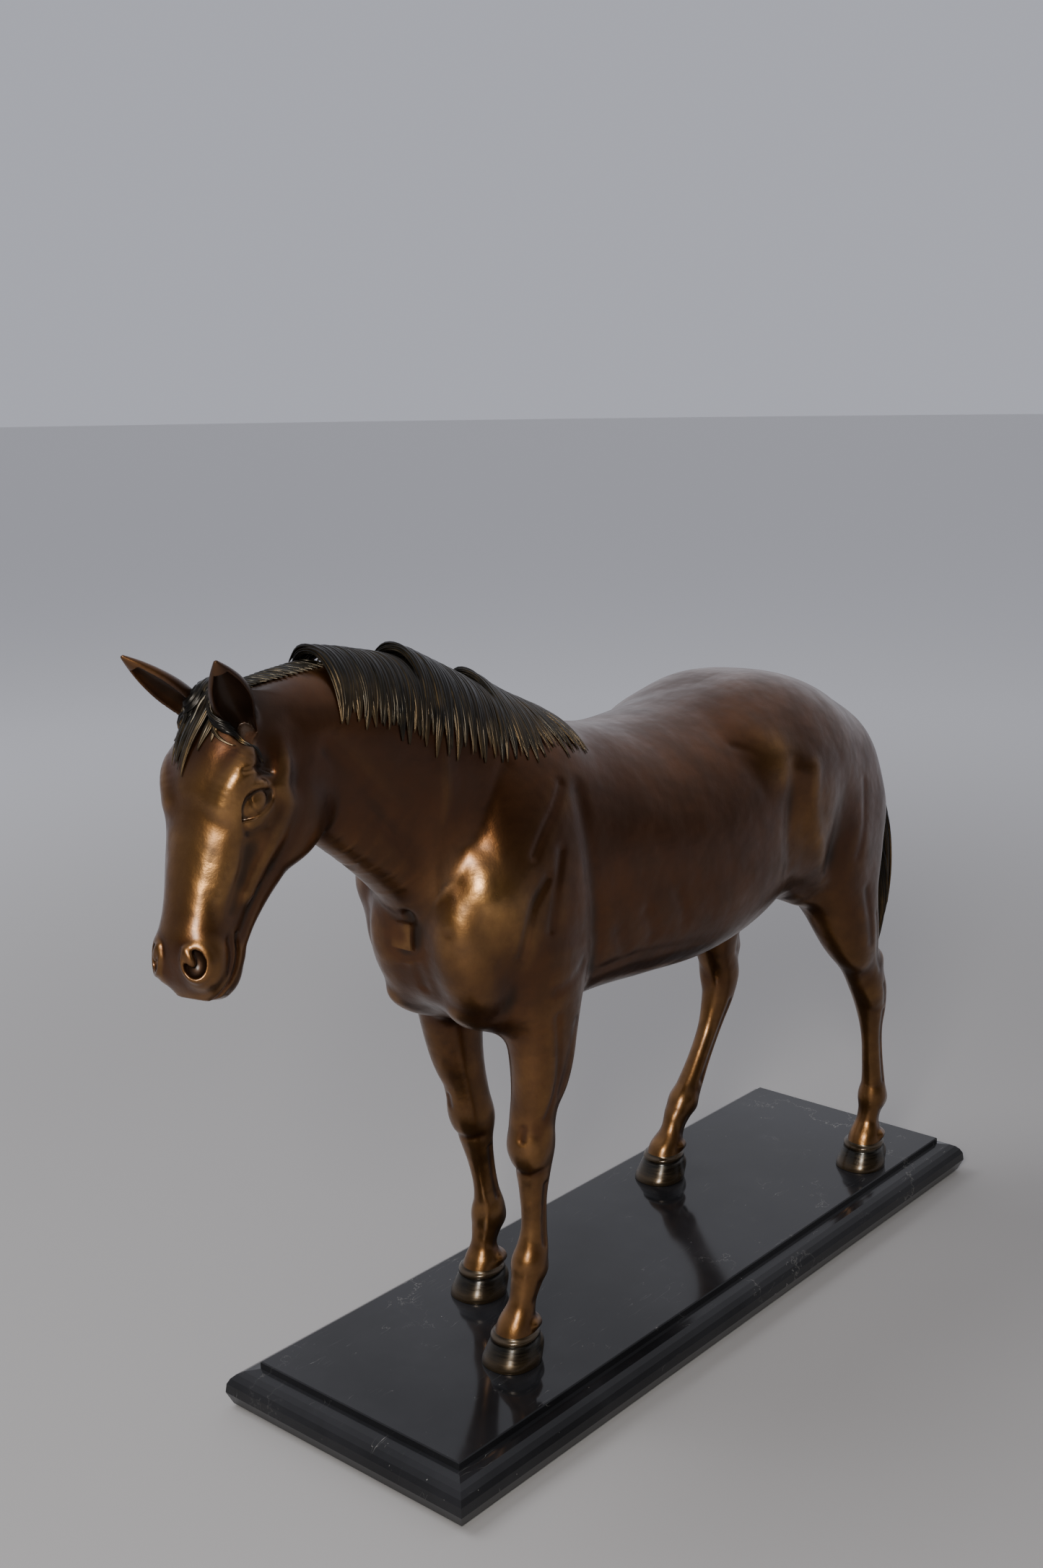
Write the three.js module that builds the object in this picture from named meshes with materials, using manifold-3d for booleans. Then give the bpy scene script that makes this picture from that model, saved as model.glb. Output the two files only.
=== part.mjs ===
// Standing horse in cast bronze on a moulded marble base.
//
// Frame: millimetres, +Z up. The origin is the centre of the felt's underside. The horse faces -X and
// its left flank faces -Y. The bronze is cast in sections with plain joints between them, and each hoof
// is held to the marble by a threaded stud, a washer and a nut let into the underside.

import * as THREE from 'three';
import { mergeVertices } from 'three/addons/utils/BufferGeometryUtils.js';
import Module from 'manifold-3d';

const wasm = await Module();
wasm.setup();

// ---------------------------------------------------------------- driving dimensions

const GAP = 0.3;                 // clearance left at every joint face
const WELD = 0.04;               // vertices closer than this are joined after a cut
const FELT_THICKNESS = 1;
const FELT_INSET = 5;            // felt edge to the base's widest outline
const BASE_LENGTH = 534;
const BASE_WIDTH = 178;
const BASE_TOP = 26;             // height of the polished field the horse stands on
const FIELD_INSET = 14.2;        // widest outline to the edge of the raised field
const BASE_BOTTOM = FELT_THICKNESS + GAP;
const HOOF_SOLE = BASE_TOP + GAP;
const CORONET = 43;              // height of the joint between hoof and leg
const BODY_WALL = 5;             // wall of the hollow trunk casting
const NECK_WALL = 4.5;
const HEAD_WALL = 4.5;

const STUD_RADIUS = 3;           // M6
const STUD_TOP = 37;
const STUD_BOTTOM = 4.5;
const HOLE_RADIUS = 3.5;
const POCKET_RADIUS = 11;        // nut pocket in the marble's underside
const POCKET_TOP = 13.3;
const WASHER_RADIUS = 9;
const WASHER_THICKNESS = 1.6;
const NUT_ACROSS_CORNERS = 11.5;
const NUT_THICKNESS = 5;

// ---------------------------------------------------------------- finishes

const BRONZE = { color: 0x5a3418, roughness: 0.34, metalness: 1.0 };
const DARK_BRONZE = { color: 0x241c12, roughness: 0.5, metalness: 0.9 };
const HOOF_BRONZE = { color: 0x15130f, roughness: 0.4, metalness: 0.9 };
const MARBLE = { color: 0x0b0b0d, roughness: 0.12, metalness: 0.0 };
const FELT = { color: 0x1d2a20, roughness: 0.95, metalness: 0.0 };
const STEEL = { color: 0x9a9c9e, roughness: 0.4, metalness: 1.0 };

// ---------------------------------------------------------------- closed solids

// Turns a closed three.js geometry into a solid that can be cut and joined.
function solid(geometry) {
  const bare = geometry.clone();
  bare.deleteAttribute('normal');
  bare.deleteAttribute('uv');
  const merged = mergeVertices(bare, 1e-4);
  return new wasm.Manifold(new wasm.Mesh({
    numProp: 3,
    vertProperties: new Float32Array(merged.attributes.position.array),
    triVerts: new Uint32Array(merged.index.array),
  }));
}

// The geometry of a solid, with vertices closer than WELD joined and the triangles that this closes
// up left out, so that a cut leaves no slivers.
function geometryOf(body) {
  const { vertProperties, triVerts } = body.getMesh();
  const geometry = new THREE.BufferGeometry();
  geometry.setAttribute('position', new THREE.BufferAttribute(new Float32Array(vertProperties), 3));
  geometry.setIndex(new THREE.BufferAttribute(new Uint32Array(triVerts), 1));
  const welded = mergeVertices(geometry, WELD);
  const corners = welded.index.array;
  const kept = [];
  for (let i = 0; i < corners.length; i += 3) {
    const [a, b, c] = corners.subarray(i, i + 3);
    if (a !== b && b !== c && c !== a) {
      kept.push(a, b, c);
    }
  }
  welded.setIndex(kept);
  welded.computeVertexNormals();
  return welded;
}

// Bends a capped unit cylinder: place(t, across, along) gives the point for a share t of the length
// and a position in the unit section.
function reshape(sides, steps, place) {
  const geometry = new THREE.CylinderGeometry(1, 1, 1, sides, steps);
  const position = geometry.attributes.position;
  for (let i = 0; i < position.count; i += 1) {
    const point = place(position.getY(i) + 0.5, position.getX(i), position.getZ(i));
    position.setXYZ(i, point.x, point.y, point.z);
  }
  return geometry;
}

// A smooth limb through a list of stations [x, y, z, half width, half depth]. The width lies along the
// lateral direction. grow fattens the section and moves both ends out by the same amount; reach moves
// the ends further along the limb.
function limb(stations, { lateral = [0, 1, 0], sides = 20, steps = 24, grow = 0, reach = 0 } = {}) {
  const spine = new THREE.CatmullRomCurve3(stations.map(([x, y, z]) => new THREE.Vector3(x, y, z)));
  const girth = new THREE.CatmullRomCurve3(stations.map(([, , , w, d]) => new THREE.Vector3(w, d, 0)));
  const sideways = new THREE.Vector3(...lateral);
  return solid(reshape(sides, steps, (t, across, along) => {
    const centre = spine.getPoint(t);
    const tangent = spine.getTangent(t);
    const wide = sideways.clone().addScaledVector(tangent, -sideways.dot(tangent)).normalize();
    const deep = new THREE.Vector3().crossVectors(wide, tangent);
    const size = girth.getPoint(t);
    const end = t < 1e-6 ? -1 : (t > 1 - 1e-6 ? 1 : 0);
    return centre
      .addScaledVector(tangent, end * (grow + reach))
      .addScaledVector(wide, across * (size.x + grow))
      .addScaledVector(deep, along * (size.y + grow));
  }));
}

// An upright tapering block: rings [z, centre x, centre y, half length, half width].
function post(rings, sides = 16) {
  const centre = new THREE.CatmullRomCurve3(rings.map(([z, x, y]) => new THREE.Vector3(x, y, z)));
  const size = new THREE.CatmullRomCurve3(rings.map(([, , , a, b]) => new THREE.Vector3(a, b, 0)));
  return solid(reshape(sides, rings.length - 1, (t, across, along) => {
    const middle = centre.getPoint(t);
    const half = size.getPoint(t);
    return new THREE.Vector3(middle.x + along * half.x, middle.y + across * half.y, middle.z);
  }));
}

function rod(x, y, low, high, radius, sides = 12) {
  const geometry = new THREE.CylinderGeometry(radius, radius, high - low, sides);
  geometry.rotateX(Math.PI / 2);
  geometry.translate(x, y, (low + high) / 2);
  return solid(geometry);
}

// ---------------------------------------------------------------- horse: stations

// Trunk sections from breast to buttock: [x, underside z, topline z, half width].
const TRUNK = [
  [-205, 262, 304, 20], [-198, 246, 320, 38], [-183, 230, 340, 53], [-158, 216, 362, 59],
  [-125, 213, 374, 59], [-85, 215, 371, 62], [-40, 213, 365, 67], [5, 211, 366.5, 71],
  [50, 216, 373, 72], [90, 229, 377, 69], [130, 242, 372, 67], [163, 245, 359, 62],
  [190, 252, 338, 50], [207, 268, 316, 34], [213, 282, 300, 17],
].map(([x, low, high, half]) => [x, 0, (low + high) / 2, half, (high - low) / 2]);

const NECK = [
  [-95, 0, 310, 40, 50], [-130, 0, 326, 42, 59], [-165, 0, 345, 37, 55], [-196, 0, 366, 31, 48],
  [-230, 0, 382, 26, 42], [-262, 0, 390, 24, 38], [-302, -1, 394, 20, 31],
];

// Directions in the head, which is lowered, turned a little to the left and tilted a little.
const HEAD_TURN = THREE.MathUtils.degToRad(8);
const HEAD_DROP = THREE.MathUtils.degToRad(68);
const HEAD_TILT = THREE.MathUtils.degToRad(1);
const POLL = new THREE.Vector3(-326, -1, 424.5);
const AHEAD = new THREE.Vector3(-Math.cos(HEAD_TURN), -Math.sin(HEAD_TURN), 0);
const MUZZLE_WARD = AHEAD.clone().multiplyScalar(Math.cos(HEAD_DROP))
  .add(new THREE.Vector3(0, 0, -Math.sin(HEAD_DROP)));
const LEFT_WARD = new THREE.Vector3(Math.sin(HEAD_TURN), -Math.cos(HEAD_TURN), 0)
  .applyAxisAngle(MUZZLE_WARD, HEAD_TILT);
const FACE_WARD = new THREE.Vector3().crossVectors(MUZZLE_WARD, LEFT_WARD);

// A point in the head: distance from the poll towards the muzzle, to the left, and out of the face.
function inHead(along, left, out) {
  const point = POLL.clone()
    .addScaledVector(MUZZLE_WARD, along)
    .addScaledVector(LEFT_WARD, left)
    .addScaledVector(FACE_WARD, out);
  return [point.x, point.y, point.z];
}

// Head sections: [distance from the poll, face line, jaw line, half width].
const HEAD = [
  [1, -10, -46, 14], [8, -3, -64, 20], [22, 2, -78, 25], [38, 3, -83, 27.5], [52, 2, -80, 27.5],
  [70, 0, -68, 23], [88, -2, -56, 18.5], [105, -4, -48, 17.5], [120, -4, -46, 19],
  [131, -8, -42, 17], [137, -14, -34, 11],
].map(([along, face, jaw, half]) => [...inHead(along, 0, (face + jaw) / 2), half, (face - jaw) / 2]);

const FORE_LEFT = [
  [-140, -33, 262, 21, 28], [-140, -35, 232, 21, 26], [-139, -35, 205, 16, 19],
  [-141, -34, 180, 13, 14.5], [-144, -33, 160, 12, 13], [-145, -33, 148, 12.5, 13.5],
  [-143.5, -33, 134, 9.5, 10], [-143.5, -33, 118, 7, 8], [-143.5, -33, 98, 6.5, 8],
  [-146.5, -33, 82, 8.8, 10], [-149, -33, 72, 8.5, 9.5], [-154.5, -33, 58, 7.5, 7.5],
  [-158, -32, 48, 10.5, 10.5], [-159, -32, CORONET + GAP, 12, 12],
];
const FORE_RIGHT = [
  [-138, 32, 262, 21, 28], [-137, 34, 232, 20, 25], [-134, 34, 205, 16, 18],
  [-130, 33, 180, 13, 14], [-124, 33, 156, 12, 12.5], [-120, 33, 140, 12.5, 13],
  [-117, 33, 124, 9.5, 9.5], [-113, 33, 108, 7, 8], [-109, 33, 90, 6.5, 8],
  [-107, 33, 76, 8.8, 10], [-109, 33, 66, 8.5, 9], [-112, 33, 56, 7.5, 7.5],
  [-113, 33, 48, 10.5, 10.5], [-114, 33, CORONET + GAP, 12, 12],
];
const HIND_LEFT = [
  [165, -34, 290, 29, 48], [160, -39, 256, 29, 52], [158, -43, 232, 27, 44],
  [157, -48, 211, 23, 33], [160, -52, 191, 17, 22], [172, -55, 171, 12, 15],
  [181, -55, 156, 11, 15], [186, -55, 140, 9.5, 11], [188, -55, 125, 7, 8.5],
  [191, -55, 100, 6.5, 8], [193, -55, 82, 7.5, 9], [193, -55, 72, 8.5, 10],
  [189, -54, 57, 7.5, 7.5], [186, -54, 48, 10.5, 10.5], [185, -54, CORONET + GAP, 12, 12],
];
const HIND_RIGHT = [
  [150, 34, 290, 28, 48], [148, 38, 255, 28, 52], [146, 40, 230, 26, 44],
  [143, 41, 208, 22, 33], [140, 41, 188, 17, 22], [143, 41, 168, 13, 16],
  [147, 41, 152, 12, 15], [144, 41, 138, 10, 12], [135, 41, 119, 7.5, 8.5],
  [122, 41, 99, 7, 8], [109, 41, 81, 8, 9.5], [101, 41, 70, 9, 10],
  [91, 41, 57, 7.5, 7.5], [85, 42, 48, 10.5, 10.5], [83, 42, CORONET + GAP, 12, 12],
];

// Hoof centres at the coronet and at the ground, and the matching leg: the ground ring is larger.
const LEGS = [
  { name: 'fore_left', stations: FORE_LEFT, ground: [-162, -32] },
  { name: 'fore_right', stations: FORE_RIGHT, ground: [-117, 33] },
  { name: 'hind_left', stations: HIND_LEFT, ground: [181, -54] },
  { name: 'hind_right', stations: HIND_RIGHT, ground: [78, 42] },
];

const TAIL = [
  [196, 0, 342, 8, 8], [216, -2, 330, 8, 8], [232, -6, 308, 8.5, 9], [241, -12, 282, 9, 10],
  [244, -17, 254, 9, 10.5], [244, -19, 228, 7.5, 9], [242, -20, 204, 7.5, 8.5],
  [240, -21, 180, 7, 8], [238, -21, 160, 4, 5], [237, -21, 146, 1.5, 2],
];

// Mane locks falling to the left: crest start, crest end and hem of each lock.
const MANE = [
  { name: 'mane_front_lock', crest: [-236, 425], half: 26, lean: 14, drop: 34 },
  { name: 'mane_middle_lock', crest: [-184, 412.5], half: 24, lean: 12, drop: 40 },
  { name: 'mane_rear_lock', crest: [-133, 395], half: 24, lean: 11, drop: 36 },
];

// ---------------------------------------------------------------- horse: bronze

const parts = [];
function part(name, body, finish) {
  parts.push({ name, body, finish });
}

const ACROSS_HEAD = LEFT_WARD.toArray();
const trunkForm = (grow) => limb(TRUNK, { sides: 24, steps: 22, grow });
const neckForm = (grow, reach = 0) => limb(NECK, { sides: 20, steps: 9, grow, reach });
const headForm = (grow) => limb(HEAD, { lateral: ACROSS_HEAD, sides: 20, steps: 15, grow });

function castTrunk() {
  const bore = neckForm(-NECK_WALL);
  return trunkForm(0).subtract(limb(TRUNK, { sides: 12, steps: 10, grow: -BODY_WALL })).subtract(bore);
}

function castNeck() {
  const neckInside = neckForm(-NECK_WALL, 2 * NECK_WALL);
  return neckForm(0).subtract(trunkForm(GAP)).subtract(neckInside);
}

function castHead() {
  const headInside = limb(HEAD, { lateral: ACROSS_HEAD, sides: 12, steps: 8, grow: -HEAD_WALL });
  return headForm(0).subtract(neckForm(GAP)).subtract(headInside);
}

const EAR_LEFT = [
  [-317, -15, 411, 6, 5], [-322, -17, 419, 7.5, 6.5], [-329, -20.5, 427, 7, 6],
  [-335, -24.5, 435, 4.5, 3.5], [-339, -27.5, 440.5, 1, 1],
];
const EAR_RIGHT = [
  [-319, 13, 412, 6, 5], [-328, 14, 419, 7.5, 6.5], [-338, 16, 427, 7, 6],
  [-349, 18.5, 435, 4.5, 3.5], [-357, 20, 440.5, 1, 1],
];
const earForm = (stations, grow) => limb(stations, { lateral: ACROSS_HEAD, sides: 10, steps: 6, grow });

const FORELOCK = [
  [...inHead(2, 0, -4), 8, 5], [...inHead(8, 0, 2), 9, 5], [...inHead(20, 0, 4), 13, 4.5],
  [...inHead(34, 0, 5.5), 14, 4], [...inHead(46, 0, 4.5), 10, 3],
];
const forelockForm = (grow) => limb(FORELOCK, { lateral: ACROSS_HEAD, sides: 12, steps: 6, grow });

function castForelock() {
  return forelockForm(0).subtract(headForm(GAP)).subtract(neckForm(GAP))
    .subtract(earForm(EAR_LEFT, GAP)).subtract(earForm(EAR_RIGHT, GAP));
}

// The clipped mane behind the ears: a low ridge along the crest.
const CLIPPED = [
  [-312, 0, 422, 2, 5], [-302, 0, 424, 3, 6], [-285, 0, 425, 3, 6], [-268, 0, 424.5, 2.5, 6],
];

function castClippedMane() {
  return limb(CLIPPED, { sides: 8, steps: 5 }).subtract(neckForm(GAP)).subtract(headForm(GAP))
    .subtract(forelockForm(GAP));
}

function maneForm({ crest: [x, z], half, lean, drop }, grow) {
  const stations = [
    [x, 6, z - 6, half, 4], [x, 0, z - 1, half, 4.5], [x + 0.3 * lean, -14, z - 6, half, 5],
    [x + 0.7 * lean, -28, z - 0.6 * drop, half - 3, 5.5], [x + lean, -37, z - drop, half - 9, 4],
  ];
  return limb(stations, { lateral: [1, 0, -0.3], sides: 14, steps: 7, grow });
}

function castMane(index) {
  let lock = maneForm(MANE[index], 0).subtract(neckForm(GAP).add(trunkForm(GAP)));
  if (index > 0) {
    lock = lock.subtract(maneForm(MANE[index - 1], GAP));
  }
  return lock;
}

function castHoof({ stations, ground: [x, y] }) {
  const [topX, topY] = stations[stations.length - 1];
  const height = CORONET - HOOF_SOLE;
  const hoof = post([
    [HOOF_SOLE, x, y, 15.8, 14.6],
    [HOOF_SOLE + 0.15 * height, x, y, 16.2, 15],
    [CORONET - 0.25 * height, topX, topY, 14.4, 13.8],
    [CORONET, topX, topY, 13.2, 12.8],
  ]);
  return hoof.subtract(rod(x, y, 0, STUD_TOP + GAP, STUD_RADIUS + GAP));
}

part('trunk_casting', castTrunk(), BRONZE);
part('neck_casting', castNeck(), BRONZE);
part('head_casting', castHead(), BRONZE);
part('left_ear', earForm(EAR_LEFT, 0).subtract(headForm(GAP)).subtract(neckForm(GAP)), BRONZE);
part('right_ear', earForm(EAR_RIGHT, 0).subtract(headForm(GAP)).subtract(neckForm(GAP)), BRONZE);
part('forelock', castForelock(), DARK_BRONZE);
part('clipped_mane', castClippedMane(), DARK_BRONZE);
MANE.forEach((lock, index) => part(lock.name, castMane(index), DARK_BRONZE));
part('tail', limb(TAIL, { sides: 10, steps: 16 }).subtract(trunkForm(GAP)), DARK_BRONZE);

function castLeg({ stations, ground: [x, y] }) {
  const belowCoronet = rod(x, y, 0, CORONET + GAP, 60);
  return limb(stations, { sides: 14, steps: 22, reach: 4 }).subtract(trunkForm(GAP)).subtract(belowCoronet);
}

for (const leg of LEGS) {
  const [x, y] = leg.ground;
  part(`${leg.name}_leg`, castLeg(leg), BRONZE);
  part(`${leg.name}_hoof`, castHoof(leg), HOOF_BRONZE);
  part(`${leg.name}_stud`, rod(x, y, STUD_BOTTOM, STUD_TOP, STUD_RADIUS), STEEL);
}

// ---------------------------------------------------------------- base and fixings

// Edge moulding from the underside to the field: [height, inset from the widest outline].
function baseOutline() {
  const outline = [[BASE_BOTTOM, 3]];
  const rise = 7;
  for (let i = 1; i <= 4; i += 1) {
    const angle = (i / 4) * (Math.PI / 2);
    outline.push([BASE_BOTTOM + rise * Math.sin(angle), 3 * (1 - Math.sin(angle))]);
  }
  for (let i = 1; i <= 5; i += 1) {
    const angle = (i / 5) * (Math.PI / 2);
    outline.push([10 + 11 * Math.sin(angle), 11 * (1 - Math.cos(angle))]);
  }
  outline.push([21.6, FIELD_INSET], [BASE_TOP - 0.6, FIELD_INSET], [BASE_TOP, FIELD_INSET + 0.6]);
  return outline;
}

function mouldedSlab() {
  const outline = baseOutline();
  const last = outline.length - 1;
  return solid(reshape(4, last, (t, across, along) => {
    const [z, inset] = outline[Math.round(t * last)];
    const corner = Math.hypot(across, along) > 0.5;
    const x = corner ? Math.sign(across + along) * (BASE_LENGTH / 2 - inset) : 0;
    const y = corner ? Math.sign(across - along) * (BASE_WIDTH / 2 - inset) : 0;
    return new THREE.Vector3(x, y, z);
  }));
}

function cutBase() {
  let slab = mouldedSlab();
  for (const { ground: [x, y] } of LEGS) {
    slab = slab.subtract(rod(x, y, 0, 2 * BASE_TOP, HOLE_RADIUS));
    slab = slab.subtract(rod(x, y, 0, POCKET_TOP, POCKET_RADIUS, 20));
  }
  return slab;
}

part('marble_base', cutBase(), MARBLE);

const felt = new THREE.BoxGeometry(BASE_LENGTH - 2 * FELT_INSET, BASE_WIDTH - 2 * FELT_INSET, FELT_THICKNESS);
felt.translate(0, 0, FELT_THICKNESS / 2);
part('base_felt', solid(felt), FELT);

for (const { name, ground: [x, y] } of LEGS) {
  const washerTop = POCKET_TOP - GAP;
  const nutTop = washerTop - WASHER_THICKNESS - GAP;
  const clearance = rod(x, y, 0, BASE_TOP, STUD_RADIUS + GAP);
  const washer = rod(x, y, washerTop - WASHER_THICKNESS, washerTop, WASHER_RADIUS, 16);
  const nut = rod(x, y, nutTop - NUT_THICKNESS, nutTop, NUT_ACROSS_CORNERS / 2, 6);
  part(`${name}_washer`, washer.subtract(clearance), STEEL);
  part(`${name}_nut`, nut.subtract(clearance), STEEL);
}

// ---------------------------------------------------------------- scene graph

const horse = new THREE.Group();
horse.name = 'bronze_horse';
for (const { name, body, finish } of parts) {
  const mesh = new THREE.Mesh(geometryOf(body), new THREE.MeshStandardMaterial(finish));
  mesh.name = name;
  horse.add(mesh);
}

export default horse;
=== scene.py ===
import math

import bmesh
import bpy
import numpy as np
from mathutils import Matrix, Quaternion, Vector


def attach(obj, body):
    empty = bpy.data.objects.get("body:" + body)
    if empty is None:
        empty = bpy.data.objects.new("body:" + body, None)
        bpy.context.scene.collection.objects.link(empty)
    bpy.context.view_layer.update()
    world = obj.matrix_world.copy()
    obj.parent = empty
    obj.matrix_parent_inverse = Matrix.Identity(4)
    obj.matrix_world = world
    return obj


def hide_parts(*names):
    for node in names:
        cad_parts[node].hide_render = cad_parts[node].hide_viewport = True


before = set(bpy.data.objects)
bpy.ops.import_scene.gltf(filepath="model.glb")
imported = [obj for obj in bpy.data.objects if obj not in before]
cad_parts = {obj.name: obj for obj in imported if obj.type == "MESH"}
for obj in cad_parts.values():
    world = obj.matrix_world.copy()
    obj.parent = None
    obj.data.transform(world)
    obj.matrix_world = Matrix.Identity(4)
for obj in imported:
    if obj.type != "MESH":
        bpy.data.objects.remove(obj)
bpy.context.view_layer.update()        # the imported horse: one body, "root"

# Standing horse in patinated bronze on a polished black marble base.
#
# The horse is sculpted as a distance field: oval sweeps for trunk, neck, legs and skull, eggs for the
# muscles, cords for tendons and ridges, and creases cut between them. Each casting is a mesh drawn on
# the part of that field that its CAD nodes hold. The mane and forelock are grooved locks laid on the
# skin, and the tail is locks laid around a line.
# All shapes are in millimetres in the CAD frame, and become metres when their mesh is made.

METRE = 0.001
FAR = np.float32(900)    # farther than any point of the horse is from any other
rng = np.random.default_rng(7)

# ---------------------------------------------------------------- camera, floor and light

CAMERA_AT = Vector((-0.8292, -0.6167, 0.5533))
CAMERA_AZIMUTH = math.radians(-49.36)
CAMERA_ELEVATION = math.radians(12.695)
CAMERA_ROLL = math.radians(-0.74)
CAMERA_LENS = 40.53
FLOOR_REACH = 30         # radius of the floor in metres
FLOOR_SIDES = 64


def make_camera():
    data = bpy.data.cameras.new("camera")
    data.sensor_width = 36
    data.lens = CAMERA_LENS
    data.clip_start = 0.01
    data.clip_end = 50
    camera = bpy.data.objects.new("camera", data)
    level = math.cos(CAMERA_ELEVATION)
    forward = Vector((
        -math.sin(CAMERA_AZIMUTH) * level,
        math.cos(CAMERA_AZIMUTH) * level,
        -math.sin(CAMERA_ELEVATION),
    ))
    camera.location = CAMERA_AT
    camera.rotation_mode = "QUATERNION"
    upright = forward.to_track_quat("-Z", "Y")
    camera.rotation_quaternion = upright @ Quaternion((0, 0, 1), CAMERA_ROLL)
    bpy.context.scene.collection.objects.link(camera)
    bpy.context.scene.camera = camera


def soft_light(name, at, aim, size, power, colour, in_reflections=True):
    data = bpy.data.lights.new(name, "AREA")
    data.shape = "DISK"
    data.size = size
    data.energy = power
    data.color = colour
    light = bpy.data.objects.new(name, data)
    light.visible_glossy = in_reflections
    light.location = at
    light.rotation_mode = "QUATERNION"
    light.rotation_quaternion = (Vector(aim) - Vector(at)).to_track_quat("-Z", "Y")
    bpy.context.scene.collection.objects.link(light)


def make_world():
    """A pale room: bright above and behind the horse, dim on the camera's side."""
    world = bpy.data.worlds.new("studio")
    bpy.context.scene.world = world
    world.use_nodes = True
    tree = world.node_tree
    tree.nodes.clear()
    link = tree.links.new
    out = tree.nodes.new("ShaderNodeOutputWorld")
    where = tree.nodes.new("ShaderNodeTexCoord")
    facing = tree.nodes.new("ShaderNodeVectorMath")
    facing.operation = "DOT_PRODUCT"
    facing.inputs[1].default_value = Vector((0.45, 0.55, 0.70)).normalized()
    ramp = tree.nodes.new("ShaderNodeValToRGB")
    ramp.color_ramp.elements[0].position = 0.38
    ramp.color_ramp.elements[0].color = (0.040, 0.037, 0.034, 1)
    ramp.color_ramp.elements[1].position = 0.85
    ramp.color_ramp.elements[1].color = (0.86, 0.87, 0.95, 1)
    half = tree.nodes.new("ShaderNodeMath")
    half.operation = "MULTIPLY_ADD"
    half.inputs[1].default_value = 0.5
    half.inputs[2].default_value = 0.5
    room = tree.nodes.new("ShaderNodeBackground")
    room.inputs["Strength"].default_value = 0.8
    plain = tree.nodes.new("ShaderNodeBackground")
    plain.inputs["Color"].default_value = (0.46, 0.47, 0.53, 1)
    plain.inputs["Strength"].default_value = 1
    path = tree.nodes.new("ShaderNodeLightPath")
    mix = tree.nodes.new("ShaderNodeMixShader")
    link(where.outputs["Generated"], facing.inputs[0])
    link(facing.outputs["Value"], half.inputs[0])
    link(half.outputs[0], ramp.inputs[0])
    link(ramp.outputs[0], room.inputs["Color"])
    link(path.outputs["Is Camera Ray"], mix.inputs[0])
    link(room.outputs[0], mix.inputs[1])
    link(plain.outputs[0], mix.inputs[2])
    link(mix.outputs[0], out.inputs["Surface"])


def make_floor():
    mesh = bpy.data.meshes.new("floor")
    angles = np.linspace(0, 2 * math.pi, FLOOR_SIDES + 1)[:-1]
    corners = [(math.cos(a) * FLOOR_REACH, math.sin(a) * FLOOR_REACH, 0) for a in angles]
    mesh.from_pydata(corners, [], [tuple(range(FLOOR_SIDES))])
    floor = bpy.data.objects.new("floor", mesh)
    bpy.context.scene.collection.objects.link(floor)
    material = bpy.data.materials.new("floor_with_painted_shade")
    material.use_nodes = True
    nodes, link = material.node_tree.nodes, material.node_tree.links.new
    shader = nodes["Principled BSDF"]
    place = nodes.new("ShaderNodeTexCoord")
    length = nodes.new("ShaderNodeVectorMath")
    length.operation = "LENGTH"
    spread = nodes.new("ShaderNodeMapRange")
    spread.interpolation_type = "SMOOTHSTEP"
    spread.inputs["From Min"].default_value = 0.5
    spread.inputs["From Max"].default_value = 2.2
    # Painted shade: the floor is darker within half a metre of the horse and pales out to 2.2 m, which also
    # dims what the bronze reflects from below.
    shade_blend = nodes.new("ShaderNodeMix")
    shade_blend.data_type = "RGBA"
    shade_blend.inputs[6].default_value = (0.31, 0.30, 0.295, 1)
    shade_blend.inputs[7].default_value = (0.62, 0.62, 0.64, 1)
    link(place.outputs["Object"], length.inputs[0])
    link(length.outputs["Value"], spread.inputs["Value"])
    link(spread.outputs["Result"], shade_blend.inputs[0])
    link(shade_blend.outputs[2], shader.inputs["Base Color"])
    shader.inputs["Roughness"].default_value = 0.7
    mesh.materials.append(material)


make_camera()
make_world()
make_floor()
soft_light("key", (-0.6, 1.1, 1.9), (0, 0, 0.25), 1.3, 26, (0.93, 0.95, 1.0), in_reflections=False)
soft_light("front", (-1.35, -0.72, 0.95), (-0.1, 0, 0.28), 0.42, 24, (1.0, 0.97, 0.92))

# ---------------------------------------------------------------- distance fields


def unit(vector):
    vector = np.asarray(vector, np.float32)
    return vector / np.linalg.norm(vector)


def smooth_min(a, b, soften):
    share = np.clip(0.5 + 0.5 * (b - a) / soften, 0, 1)
    return b + (a - b) * share - soften * share * (1 - share)


def hermite(knots, rows, at):
    """Smooth curve through rows at the knots, read at the places asked for."""
    slopes = np.gradient(rows, knots, axis=0)
    i = np.clip(np.searchsorted(knots, at, side="right") - 1, 0, len(knots) - 2)
    span = knots[i + 1] - knots[i]
    t = ((at - knots[i]) / span)[:, None]
    span = span[:, None]
    return (
        (2 * t**3 - 3 * t**2 + 1) * rows[i] + (t**3 - 2 * t**2 + t) * span * slopes[i]
        + (3 * t**2 - 2 * t**3) * rows[i + 1] + (t**3 - t**2) * span * slopes[i + 1]
    )


def smooth_path(points, steps=4):
    points = np.asarray(points, float)
    if len(points) < 3:
        return points.astype(np.float32)
    lengths = np.linalg.norm(np.diff(points, axis=0), axis=1)
    knots = np.concatenate([[0], np.cumsum(lengths)])
    at = np.linspace(0, knots[-1], steps * (len(points) - 1) + 1)
    return hermite(knots, points, at).astype(np.float32)


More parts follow.
